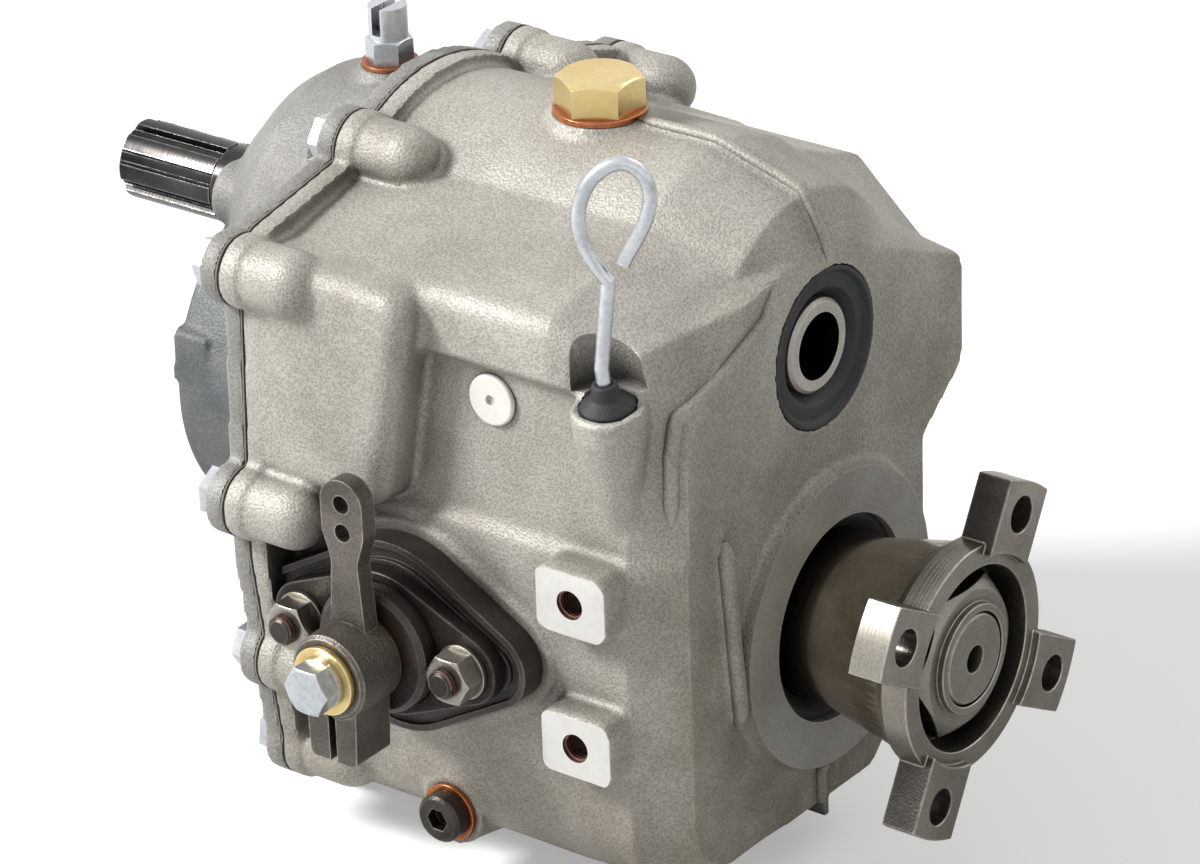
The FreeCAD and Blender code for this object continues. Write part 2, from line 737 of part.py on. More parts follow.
def front_housing():
    shell = front_housing_outside()
    tools = [front_space()]
    tools.append(rod_x(seal_journal_r + 2, front_x - 1, front_bearing_x + 1))
    tools.append(rod_x(input_seal_r + slip, front_x - 1, front_x + input_seal_w + 1))
    tools.append(rod_x(small_bearing_r + slip, front_bearing_x, front_bearing_x + small_bearing_w + 7))
    bearing_start = output_front_bearing_x - 0.05
    tools.append(rod_x(output_front_bearing_r + slip, bearing_start, front_joint_x + 1, 0, output_z))
    tools.append(rod_x(output_front_journal_r + 4, bearing_start - 5, front_joint_x + 1, 0, output_z))
    tools.append(rod_x(idler_pin_r + slip, idler_pin_start_x - 0.5, front_joint_x + 1, idler_y, idler_z))
    spot_x = flange_front_x - front_boss_proud
    for y, z in front_bolts:
        tools.append(rod_x(bolt_r + slip, spot_x - 1, front_joint_x + 1, y, z))
        tools.append(rod_x(spot_face_r, spot_x - 12, spot_x, y, z))
    tools.append(rod_x(bolt_r + slip, aft_bolt_end_x - 2, front_joint_x + 1, *aft_bolt))
    for y, z in dowels:
        tools.append(rod_x(dowel_r + slip, joint_x - dowel_reach, front_joint_x + 1, y, z))
    for side in (-1, 1):
        y = side * engine_boss_y
        tools.append(rod_x(engine_hole_r, front_x - 1, front_x + engine_hole_deep, y, -side * engine_boss_z))
        tools.append(rod_x(engine_low_hole_r, front_x - 1, front_x + engine_low_hole_deep, y, engine_low_z))
    tools.append(rod_z(breather_thread_r + slip, roof_r - wall - 8, breather_boss_z + 2, breather_x, 0))
    return cut_all(shell, tools)


def housing_gasket():
    sheet = joint_flange(front_joint_x, rear_joint_x)
    tools = [gear_space(front_joint_x - 1, rear_joint_x + 1), oil_space()]
    for y, z in front_bolts + [aft_bolt]:
        tools.append(rod_x(bolt_r + slip, front_joint_x - 1, rear_joint_x + 1, y, z))
    for y, z in dowels:
        tools.append(rod_x(dowel_r + slip, front_joint_x - 1, rear_joint_x + 1, y, z))
    return cut_all(sheet, tools)


def housing_bolts():
    head_x = flange_front_x - front_boss_proud
    bolts = []
    for y, z in front_bolts:
        head = chamfered_hexagon(-AXIS_X, V(head_x, y, z), bolt_af, bolt_head)
        bolts.append(head.fuse(rod_x(bolt_r, head_x - 1, bolt_end_x, y, z)).removeSplitter())
    y, z = aft_bolt
    head = chamfered_hexagon(AXIS_X, V(flange_rear_x, y, z), bolt_af, bolt_head)
    bolts.append(head.fuse(rod_x(bolt_r, aft_bolt_end_x, flange_rear_x + 1, y, z)).removeSplitter())
    return Part.makeCompound(bolts)


def dowel_pins():
    x0 = joint_x - dowel_reach + seat_gap
    x1 = joint_x + dowel_reach - seat_gap
    return Part.makeCompound([rod_x(dowel_r, x0, x1, y, z) for y, z in dowels])


# Gears and shafts

def spline_bar(count, root_r, tip_r, land, x0, x1, z=0.0):
    """Shaft with straight-sided splines: a core and one box-section tooth for each land."""
    bar = rod_x(root_r, x0, x1, 0, z)
    teeth = []
    for k in range(count):
        tooth = block(x0, x1, 0, tip_r + 1, -land / 2, land / 2)
        tooth.rotate(V(0, 0, 0), AXIS_X, 360.0 * k / count)
        tooth.translate(V(0, 0, z))
        teeth.append(tooth)
    return bar.fuse(teeth).common(rod_x(tip_r, x0, x1, 0, z)).removeSplitter()


def involute_half_angle(radius, teeth, backlash):
    """Half the angle that a tooth covers at the given radius."""
    pitch_r = tooth_module * teeth / 2
    base_r = pitch_r * math.cos(pressure_angle)
    at_pitch = math.pi / (2 * teeth) - backlash / (2 * pitch_r)
    roll_pitch = math.tan(pressure_angle) - pressure_angle
    if radius <= base_r:
        return at_pitch + roll_pitch
    here = math.acos(base_r / radius)
    return at_pitch + roll_pitch - (math.tan(here) - here)


def gear_blank(teeth, x0, x1, y, z, first_tooth_deg):
    """Spur gear without a bore. The first tooth points at the given angle from +Y towards +Z."""
    pitch_r = tooth_module * teeth / 2
    tip_r = pitch_r + tooth_module
    root_r = pitch_r - tooth_module - tooth_gap
    levels = [root_r, pitch_r - 0.3 * tooth_module, pitch_r + 0.4 * tooth_module, tip_r]
    points = []
    for k in range(teeth):
        centre = math.radians(first_tooth_deg) + 2 * math.pi * k / teeth
        halves = [involute_half_angle(level, teeth, mesh_backlash) for level in levels]
        for level, half in zip(levels, halves):
            points.append((level, centre - half))
        for level, half in reversed(list(zip(levels, halves))):
            points.append((level, centre + half))
    corners = [V(x0, y + r * math.cos(a), z + r * math.sin(a)) for r, a in points]
    return Part.Face(Part.makePolygon(corners + [corners[0]])).extrude(V(x1 - x0, 0, 0))


def mating_phase(driver_teeth, driver_first_deg, line_deg, driven_teeth):
    """First-tooth angle that puts a gap of the driven gear on a tooth of the driver."""
    driver_step = 360.0 / driver_teeth
    offset = (line_deg - driver_first_deg) / driver_step
    lag = (offset - math.floor(offset)) * driver_step
    driven_step = 360.0 / driven_teeth
    return line_deg + 180.0 + lag * driver_teeth / driven_teeth + driven_step / 2


def reverse_x():
    """Front and rear faces of the reverse gear."""
    face = shift_x - sleeve_half - shift_travel - gear_face_gap
    return face - reverse_face_w, face


def forward_x():
    """Front and rear faces of the forward gear."""
    face = shift_x + sleeve_half + shift_travel + gear_face_gap
    return face, face + forward_face_w


pinion_line_deg = -90.0
idler_line_deg = math.degrees(math.atan2(idler_z, idler_y))
idler_gear_line_deg = math.degrees(math.atan2(output_z - idler_z, -idler_y))
reverse_pinion_first = 0.0
forward_pinion_first = -90.0
idler_first = mating_phase(reverse_pinion_teeth, reverse_pinion_first, idler_line_deg, idler_teeth)
reverse_gear_first = mating_phase(idler_teeth, idler_first, idler_gear_line_deg, reverse_gear_teeth)
forward_gear_first = mating_phase(forward_pinion_teeth, forward_pinion_first, pinion_line_deg,
                                  forward_gear_teeth)


def input_shaft():
    reverse0, reverse1 = reverse_x()
    forward0, forward1 = forward_x()
    end = spline_bar(spline_teeth, spline_minor_r, spline_major_r, spline_land, spline_end_x, spline_start_x)
    trimmed = turned([(spline_end_x, 0), (spline_end_x, spline_minor_r - 0.5),
                      (spline_end_x + 2, spline_major_r + 0.1),
                      (spline_start_x, spline_major_r + 0.1), (spline_start_x, 0)], V(0, 0, 0), AXIS_X)
    end = end.common(trimmed)
    rear_end = input_rear_bearing_x + small_bearing_w + 1
    core = turned([
        (spline_start_x, 0), (spline_start_x, spline_major_r - 0.4), (-1, spline_major_r - 0.4),
        (0, seal_journal_r),
        (front_bearing_x - 1, seal_journal_r), (front_bearing_x - 1, input_journal_r),
        (front_bearing_x + small_bearing_w, input_journal_r),
        (front_bearing_x + small_bearing_w, input_body_r),
        (input_rear_bearing_x, input_body_r), (input_rear_bearing_x, input_journal_r),
        (rear_end, input_journal_r),
        (rear_end, input_tail_r), (input_tail_x - 1, input_tail_r), (input_tail_x, input_tail_r - 1),
        (input_tail_x, input_tail_bore_r), (input_tail_x - input_tail_bore_deep, input_tail_bore_r),
        (input_tail_x - input_tail_bore_deep - 4, 0)], V(0, 0, 0), AXIS_X)
    small = gear_blank(reverse_pinion_teeth, reverse0 + pinion_inset, reverse1 - pinion_inset, 0, 0,
                       reverse_pinion_first)
    large = gear_blank(forward_pinion_teeth, forward0, forward1, 0, 0, forward_pinion_first)
    return core.fuse([end, small, large]).removeSplitter()


def bored_gear(blank, bore_r, x0, x1, y, z):
    return blank.cut(rod_x(bore_r, x0 - 20, x1 + 20, y, z))


def cup_ring(mouth_x, floor_x):
    """Clutch cup of a gear: cylinder outside, cone inside, wide at the mouth."""
    clear = shift_travel * math.tan(cone_angle) + 0.25
    slope = math.tan(cone_angle)
    mouth_r = sleeve_r + clear - slope * (abs(mouth_x - shift_x) - cone_land)
    floor_r = sleeve_r + clear - slope * (abs(floor_x - shift_x) - cone_land)
    return turned([(mouth_x, mouth_r), (mouth_x, cup_r), (floor_x, cup_r), (floor_x, floor_r)],
                  V(0, 0, output_z), AXIS_X)


def forward_gear():
    x0, x1 = forward_x()
    blank = gear_blank(forward_gear_teeth, x0, x1, 0, output_z, forward_gear_first)
    cup = cup_ring(shift_x + cup_mouth, x0)
    return bored_gear(blank.fuse(cup), output_core_r + bush_thick + slip, x0, x1, 0,
                      output_z).removeSplitter()


def reverse_gear():
    x0, x1 = reverse_x()
    blank = gear_blank(reverse_gear_teeth, x0, x1, 0, output_z, reverse_gear_first)
    cup = cup_ring(shift_x - cup_mouth, x1)
    return bored_gear(blank.fuse(cup), output_core_r + bush_thick + slip, x0, x1, 0,
                      output_z).removeSplitter()


def gear_bush(x0, x1):
    return tube_x(output_core_r + bush_thick, output_core_r + running, x0, x1, 0, output_z)


def idler_gear():
    x0, x1 = reverse_x()
    blank = gear_blank(idler_teeth, x0 + pinion_inset, x1 - pinion_inset, idler_y, idler_z, idler_first)
    return bored_gear(blank, idler_pin_r + bush_thick + slip, x0, x1, idler_y, idler_z)


def idler_bush():
    x0, x1 = reverse_x()
    return tube_x(idler_pin_r + bush_thick, idler_pin_r + running, x0 + pinion_inset, x1 - pinion_inset,
                  idler_y, idler_z)


def idler_pin():
    return rod_x(idler_pin_r, idler_pin_start_x, idler_pin_end_x, idler_y, idler_z)


def output_shaft():
    reverse0, reverse1 = reverse_x()
    forward0, forward1 = forward_x()
    front = turned([
        (output_front_bearing_x - 2, 0), (output_front_bearing_x - 2, output_front_journal_r - 1),
        (output_front_bearing_x - 1, output_front_journal_r), (rear_joint_x + 1, output_front_journal_r),
        (rear_joint_x + 1, output_core_r), (reverse1, output_core_r), (reverse1, 0)], V(0, 0, output_z),
        AXIS_X)
    rear_end = output_rear_bearing_x + output_rear_bearing_w
    thread_x = coupling_face_x - recess_deep
    rear = turned([
        (forward0, 0), (forward0, output_core_r), (output_rear_bearing_x - 1, output_core_r),
        (output_rear_bearing_x - 1, output_rear_journal_r), (rear_end + 1, output_rear_journal_r),
        (rear_end + 1, coupling_shaft_r), (thread_x - 2, coupling_shaft_r), (thread_x - 2, thread_r),
        (output_end_x - 1, thread_r), (output_end_x, thread_r - 1), (output_end_x, centre_hole_r),
        (output_end_x - centre_hole_deep, centre_hole_r - 1.5), (output_end_x - centre_hole_deep - 2, 0)],
        V(0, 0, output_z), AXIS_X)
    middle = spline_bar(output_spline_teeth, output_spline_root_r, output_spline_r, output_spline_land,
                        reverse1, forward0, output_z)
    return middle.fuse([front, rear]).removeSplitter()


def clutch_sleeve():
    """Double-cone sleeve on the output shaft's splines, with a groove for the sliding block."""
    drop = (sleeve_half - cone_land) * math.tan(cone_angle)
    outside = turned([
        (shift_x - sleeve_half, 0), (shift_x - sleeve_half, sleeve_r - drop), (shift_x - cone_land, sleeve_r),
        (shift_x - groove_half, sleeve_r), (shift_x - groove_half, groove_r),
        (shift_x + groove_half, groove_r),
        (shift_x + groove_half, sleeve_r), (shift_x + cone_land, sleeve_r),
        (shift_x + sleeve_half, sleeve_r - drop),
        (shift_x + sleeve_half, 0)], V(0, 0, output_z), AXIS_X)
    bore = spline_bar(output_spline_teeth, output_spline_root_r + running, output_spline_r + running,
                      output_spline_land + 2 * running, shift_x - sleeve_half - 1, shift_x + sleeve_half + 1,
                      output_z)
    return outside.cut(bore)


def ball_bearing(inner, outer, x0, width, z):
    """Sealed ball bearing as one ring, with the shallow step between its rings on both faces."""
    ring = tube_x(outer, inner + running, x0, x0 + width, 0, z)
    step_in = inner + (outer - inner) * 0.3
    step_out = inner + (outer - inner) * 0.72
    for start in (x0 - 1, x0 + width - 0.8):
        ring = ring.cut(tube_x(step_out, step_in, start, start + 1.8, 0, z))
    return ring


def lip_seal(inner, outer, x0, width, z):
    """Rotary shaft seal: a flat case whose lip stands clear of the shaft."""
    return turned([(x0, inner + 2), (x0, outer), (x0 + width, outer), (x0 + width, inner + 3.5),
                   (x0 + width * 0.65, inner), (x0 + width * 0.45, inner)], V(0, 0, z), AXIS_X)


def tail_seal():
    """Rubber-covered ring that closes the rear bearing bore round the input shaft's tail."""
    x0 = rear_x - tail_seal_w - tail_seal_back
    x1 = rear_x - tail_seal_back
    return turned([(x0, input_tail_r + running), (x0, tail_seal_r), (x1 + 1.5, tail_seal_r),
                   (x1 + 1.5, tail_seal_r - 1.2),
                   (x1, tail_seal_r - 2.2), (x1, tail_seal_lip_r + 1.5), (x1 - 2, tail_seal_lip_r),
                   (x1 - 4, input_tail_r + running)], V(0, 0, 0), AXIS_X)


# Output coupling

def lug_outline(turn_deg):
    """One bolt lug: straight sides and a turned tip, from the hub outwards."""
    half = lug_width / 2
    lug = block(coupling_face_x - lug_thick, coupling_face_x, 18, lug_reach_r + 2, -half, half)
    lug = lug.common(rod_x(lug_reach_r, coupling_face_x - lug_thick, coupling_face_x))
    lug = lug.cut(rod_x(lug_hole_r, coupling_face_x - lug_thick - 1, coupling_face_x + 1, lug_pcd / 2, 0))
    lug.rotate(V(0, 0, 0), AXIS_X, turn_deg)
    return lug.translated(V(0, 0, output_z))


def output_coupling():
    ring_x = coupling_face_x - ring_back
    body = turned([
        (coupling_back_x, 0), (coupling_back_x, hub_back_r - 1), (coupling_back_x + 1, hub_back_r),
        (flare_x, hub_back_r), (coupling_face_x - lug_thick - 4, hub_front_r),
        (coupling_face_x - lug_thick, pilot_r + 3),
        (ring_x, pilot_r + 3), (ring_x, 0)], V(0, 0, output_z), AXIS_X)
    lugs = [lug_outline(lug_first_deg + 360.0 / lug_count * k) for k in range(lug_count)]
    body = body.fuse(lugs)
    tools = [
        rod_x(pilot_r, ring_x, coupling_face_x + 1, 0, output_z),
        rod_x(recess_r, coupling_face_x - recess_deep, coupling_face_x + 1, 0, output_z),
        rod_x(coupling_shaft_r + slip, coupling_back_x - 1, coupling_face_x, 0, output_z)]
    return body.cut(tools).removeSplitter()


def coupling_nut():
    """Hexagon nut with a round collar that is staked into the shaft."""
    x0 = coupling_face_x - recess_deep
    nut = chamfered_hexagon(AXIS_X, V(x0, 0, output_z), coupling_nut_af, coupling_nut_high)
    collar_x = x0 + coupling_nut_high
    nut = nut.fuse(rod_x(nut_collar_r, x0 + 1, collar_x + nut_collar_high, 0, output_z))
    return nut.cut(rod_x(thread_r + slip, x0 - 1, collar_x + 5, 0, output_z)).removeSplitter()


# Shift mechanism

def shift_cover():
    """Black cover: diamond plate, a hub outside and a spigot inside the casing."""
    out_y = pad_y - cover_thick
    plate = lozenge(out_y, pad_y, shift_x, shift_z, cover_core_r, cover_tip_r, cover_tip_x)
    groove = lozenge(out_y - 1, out_y + 1.5, shift_x, shift_z, cover_core_r - 2, cover_tip_r - 2, cover_tip_x)
    step = lozenge(out_y - 1, out_y + 2, shift_x, shift_z, cover_core_r - 5.5, cover_tip_r - 5, cover_tip_x)
    plate = plate.cut(groove.cut(step))
    plate = plate.cut(block(0, cover_flat_x, -200, 0, -200, 0))
    hub = turned([(pad_y - 1, 0), (pad_y - 1, cover_hub_r), (cover_hub_y + 1.5, cover_hub_r),
                  (cover_hub_y, cover_hub_r - 1.5), (cover_hub_y, 0)], V(shift_x, 0, shift_z), AXIS_Y)
    spigot = rod_y(cover_spigot_r, pad_y - 1, cover_spigot_deep_y, shift_x, shift_z)
    body = plate.fuse([hub, spigot])
    tools = [rod_y(bush_r + slip, cover_hub_y - 1, cover_spigot_deep_y + 1, shift_x, shift_z)]
    for side in (-1, 1):
        tools.append(rod_y(stud_r + seat_gap, out_y - 1, pad_y + 1, shift_x + side * stud_offset, shift_z))
    return body.cut(tools).removeSplitter()


def flange_plate():
    """Steel diamond plate that clamps the cover, round its hub."""
    out_y = pad_y - cover_thick - flange_plate_thick
    plate = lozenge(out_y, pad_y - cover_thick, shift_x, shift_z, flange_plate_core_r, flange_plate_tip_r,
                    stud_offset)
    tools = [rod_y(cover_hub_r + slip, out_y - 1, pad_y, shift_x, shift_z)]
    for side in (-1, 1):
        tools.append(rod_y(stud_r + seat_gap, out_y - 1, pad_y, shift_x + side * stud_offset, shift_z))
    return plate.cut(tools)


def cover_studs():
    studs = []
    for side in (-1, 1):
        x = shift_x + side * stud_offset
        studs.append(turned([(stud_deep_y, 0), (stud_deep_y, stud_r), (stud_out_y + 0.8, stud_r),
                             (stud_out_y, stud_r - 0.8), (stud_out_y, 0)], V(x, 0, shift_z), AXIS_Y))
    return Part.makeCompound(studs)


def washer_y():
    return pad_y - cover_thick - flange_plate_thick


def cover_washers():
    washers = []
    for side in (-1, 1):
        x = shift_x + side * stud_offset
        ring = rod_y(washer_r, washer_y() - washer_thick, washer_y(), x, shift_z)
        washers.append(ring.cut(rod_y(stud_r + seat_gap, washer_y() - 5, washer_y() + 1, x, shift_z)))
    return Part.makeCompound(washers)


def cover_nuts():
    nuts = []
    for side in (-1, 1):
        x = shift_x + side * stud_offset
        start = V(x, washer_y() - washer_thick, shift_z)
        nut = chamfered_hexagon(-AXIS_Y, start, bolt_af, nut_high)
        nuts.append(nut.cut(rod_y(stud_r + slip, washer_y() - 12, washer_y() + 1, x, shift_z)))
    return Part.makeCompound(nuts)


def shift_bush():
    bush = rod_y(bush_r, cover_hub_y, cover_spigot_deep_y, shift_x, shift_z)
    return bush.cut(rod_y(shift_shaft_r + running, cover_hub_y - 1, cover_spigot_deep_y + 1, shift_x,
                          shift_z))


def shift_shaft():
    """Cross shaft with an eccentric finger inside and a threaded hole for the lever bolt outside."""
    end_y = lever_hub_y - lever_hub_w + 0.5
    shaft = rod_y(shift_shaft_r, end_y, disc_y - disc_thick + 1, shift_x, shift_z)
    disc = rod_y(disc_r, disc_y - disc_thick, disc_y, shift_x, shift_z)
    finger = rod_y(finger_r, disc_y - 1, finger_end_y, shift_x, output_z)
    body = shaft.fuse([disc, finger])
    return body.cut(rod_y(bolt_r, end_y - 1, end_y + lever_bolt_in + 2, shift_x, shift_z)).removeSplitter()


def sliding_block():
    """Block in the sleeve's groove. Its slot lets the finger rise as it swings."""
    rise = eccentric * (1 - math.cos(lever_swing))
    half_x = groove_half - 0.2
    body = block(shift_x - half_x, shift_x + half_x, block_out_y, block_deep_y, output_z - block_half_z,
                 output_z + block_half_z)
    slot_r = finger_r + finger_play
    slot = rod_y(slot_r, block_out_y - 1, finger_end_y + 0.5, shift_x, output_z - seat_gap)
    top = rod_y(slot_r, block_out_y - 1, finger_end_y + 0.5, shift_x, output_z + rise + seat_gap)
    middle = block(shift_x - slot_r, shift_x + slot_r, block_out_y - 1, finger_end_y + 0.5,
                   output_z - seat_gap,
                   output_z + rise + seat_gap)
    return body.cut([slot, top, middle])


def copper_ring():
    ring = rod_y(copper_ring_r, cover_hub_y - copper_ring_thick, cover_hub_y, shift_x, shift_z)
    return ring.cut(rod_y(shift_shaft_r + running, cover_hub_y - 5, cover_hub_y + 1, shift_x, shift_z))


def shift_lever():
    """Lever: clamp hub with a slotted tail, a neck and a round head with two cable holes."""
    out_y = lever_hub_y - lever_hub_w
    hub = turned([(lever_hub_y, 0), (lever_hub_y, lever_hub_r), (out_y + 1, lever_hub_r),
                  (out_y, lever_hub_r - 1),
                  (out_y, 0)], V(shift_x, 0, shift_z), AXIS_Y)
    plate_y0 = lever_plate_y - lever_thick
    half = lever_width / 2
    slim = lever_neck / 2
    head_z = shift_z + lever_top - lever_head_r
    neck = prism("y", lever_plate_y, plate_y0, [
        (shift_x - half, shift_z + 4, 1), (shift_x + half, shift_z + 4, 1), (shift_x + slim, head_z - 17, 10),
        (shift_x + lever_head_r, head_z - 9, 8),
        (shift_x + lever_head_r, head_z + lever_head_r, lever_head_r - 0.1),
        (shift_x - lever_head_r, head_z + lever_head_r, lever_head_r - 0.1),
        (shift_x - lever_head_r, head_z - 9, 8),
        (shift_x - slim, head_z - 17, 10)])
    tail = prism("y", lever_hub_y - 1, out_y + 1, [
        (shift_x - 8, shift_z - lever_tail, 2), (shift_x + 8, shift_z - lever_tail, 2),
        (shift_x + 9, shift_z, 2),
        (shift_x - 9, shift_z, 2)])
    body = hub.fuse([neck, tail])
    tools = [
        rod_y(shift_shaft_r + slip, out_y - 1, lever_hub_y + 1, shift_x, shift_z),
        block(shift_x - clamp_slot / 2, shift_x + clamp_slot / 2, out_y - 1, lever_hub_y + 1,
              shift_z - lever_tail - 1, shift_z)]
    for k in range(2):
        tools.append(rod_y(cable_hole_r, plate_y0 - 1, lever_plate_y + 1, shift_x,
                           head_z - k * cable_hole_pitch))
    return body.cut(tools).removeSplitter()


def lever_washer():
    out_y = lever_hub_y - lever_hub_w
    ring = rod_y(lever_washer_r, out_y - lever_washer_thick, out_y, shift_x, shift_z)
    return ring.cut(rod_y(bolt_r + slip, out_y - 5, out_y + 1, shift_x, shift_z))


def lever_bolt():
    start_y = lever_hub_y - lever_hub_w - lever_washer_thick
    collar = rod_y(7.4, start_y - 2, start_y, shift_x, shift_z)
    head = chamfered_hexagon(-AXIS_Y, V(shift_x, start_y - 2, shift_z), lever_bolt_af, lever_bolt_head)
    shank = rod_y(bolt_r - slip, start_y - 1, start_y + lever_washer_thick + lever_bolt_in, shift_x, shift_z)
    return head.fuse([collar, shank]).removeSplitter()


# Plugs, breather and dipstick

def filler_washer():
    top = filler_boss_z + filler_washer_thick
    return rod_z(filler_washer_r, filler_boss_z, top, filler_x, 0).cut(
        rod_z(filler_thread_r + slip, filler_boss_z - 1, top + 1, filler_x, 0))


def filler_plug():
    base_z = filler_boss_z + filler_washer_thick
    head = chamfered_hexagon(AXIS_Z, V(filler_x, 0, base_z), filler_af, filler_high)
    return head.fuse(rod_z(filler_thread_r, filler_boss_z - filler_thread_deep, base_z + 1, filler_x, 0))


def breather_washer():
    top = breather_boss_z + breather_washer_thick
    return rod_z(breather_washer_r, breather_boss_z, top, breather_x, 0).cut(
        rod_z(breather_thread_r + slip, breather_boss_z - 1, top + 1, breather_x, 0))


def breather():
    """Vent screw: hexagon with a slotted stem, and a hole down its middle."""
    base_z = breather_boss_z + breather_washer_thick
    head = chamfered_hexagon(AXIS_Z, V(breather_x, 0, base_z), breather_af, breather_hex_high)
    top_z = base_z + breather_hex_high + breather_stem_high
    stem = rod_z(breather_stem_r, base_z + 1, top_z, breather_x, 0)
    thread = rod_z(breather_thread_r, breather_boss_z - breather_thread_deep, base_z + 1, breather_x, 0)
    body = head.fuse([stem, thread])
    slot = block(breather_x - breather_slot / 2, breather_x + breather_slot / 2, -20, 20,
                 top_z - breather_slot_deep, top_z + 1)
    bore = rod_z(1.6, breather_boss_z - breather_thread_deep - 1, top_z + 1, breather_x, 0)
    return body.cut([slot, bore]).removeSplitter()


def drain_washer():
    out_y = drain_boss_y - drain_washer_thick
    return rod_y(drain_washer_r, out_y, drain_boss_y, drain_x, drain_z).cut(
        rod_y(drain_thread_r + slip, out_y - 1, drain_boss_y + 1, drain_x, drain_z))


def drain_plug():
    base_y = drain_boss_y - drain_washer_thick
    out_y = base_y - drain_head_high
    head = turned([(base_y, 0), (base_y, drain_head_r), (out_y + 1, drain_head_r), (out_y, drain_head_r - 1),
                   (out_y, 0)], V(drain_x, 0, drain_z), AXIS_Y)
    body = head.fuse(rod_y(drain_thread_r, base_y - 1, drain_boss_y + drain_thread_deep, drain_x, drain_z))
    socket = hexagon(AXIS_Y, V(drain_x, out_y - 0.5, drain_z), drain_socket_af, drain_socket_deep + 0.5)
    return body.cut(socket).removeSplitter()


def side_plug():
    face_y = panel_y - side_plug_high
    head = turned([(panel_y, 0), (panel_y, side_plug_r), (face_y + 0.5, side_plug_r),
                   (face_y, side_plug_r - 0.5),
                   (face_y, 0)], V(side_plug_x, 0, side_plug_z), AXIS_Y)
    body = head.fuse(rod_y(side_plug_stem_r, panel_y - 1, panel_y + side_plug_stem, side_plug_x, side_plug_z))
    return body.cut(rod_y(side_plug_mark_r, face_y - 1, face_y + 1.2, side_plug_x,
                          side_plug_z)).removeSplitter()


def dipstick_bung():
    """Rubber bung in the dipstick's boss, with a collar where the wire leaves it."""
    body = turned([(-bung_deep + 1, 0), (-bung_deep + 1, bung_r - 1), (-bung_deep + 3, bung_r), (0.2, bung_r),
                   (1.2, bung_r - 1.5), (2.2, 4.2), (bung_proud + 2, 3.4), (bung_proud + 2, 0)],
                  stick_mouth(), stick_axis())
    hole = cylinder(stick_axis(), stick_mouth() - stick_axis() * 20, stick_wire_r + slip, 40)
    return body.cut(hole)


def wire_sweep(path_edges, start, direction):
    path = Part.Wire(path_edges)
    ring = Part.Wire([Part.makeCircle(stick_wire_r, start, direction)])
    return path.makePipeShell([ring], True, False)


def dipstick():
    """Round wire: straight shank, a drop-shaped open loop above the bung, a thinner blade below."""
    axis = stick_axis()
    bend = stick_mouth() + axis * (bung_proud + 6)
    side = V(math.cos(math.radians(33)), math.sin(math.radians(33)), 0)
    neck = bend + AXIS_Z * stick_straight + side * stick_lean
    rise = (neck - bend).normalize()
    points = [neck]
    for across, up in ((-0.5, 0.16), (-1.0, 0.45), (-0.85, 0.72), (-0.05, 0.95)):
        points.append(neck + side * (loop_left * across) + AXIS_Z * (loop_high * up))
    for across, up in ((0.42, 1.0), (0.85, 0.9), (1.0, 0.7), (0.8, 0.45), (0.35, 0.15)):
        points.append(neck + side * (loop_right * across) + AXIS_Z * (loop_high * up))
    curve = Part.BSplineCurve()
    curve.interpolate(points)
    start_direction = curve.tangent(curve.FirstParameter)[0]
    loop = wire_sweep([curve.toShape()], neck, start_direction)
    low = stick_mouth() - axis * (bung_deep + 2)
    lower = cylinder(axis, low, stick_wire_r, (bend - low).Length)
    upper = cylinder(rise, bend, stick_wire_r, (neck - bend).Length)
    joints = [Part.makeSphere(stick_wire_r, bend), Part.makeSphere(stick_wire_r, neck)]
    blade = cylinder(axis, stick_mouth() - axis * stick_below, stick_blade_r, stick_below - bung_deep - 1)
    return lower.fuse([upper, loop, blade] + joints).removeSplitter()


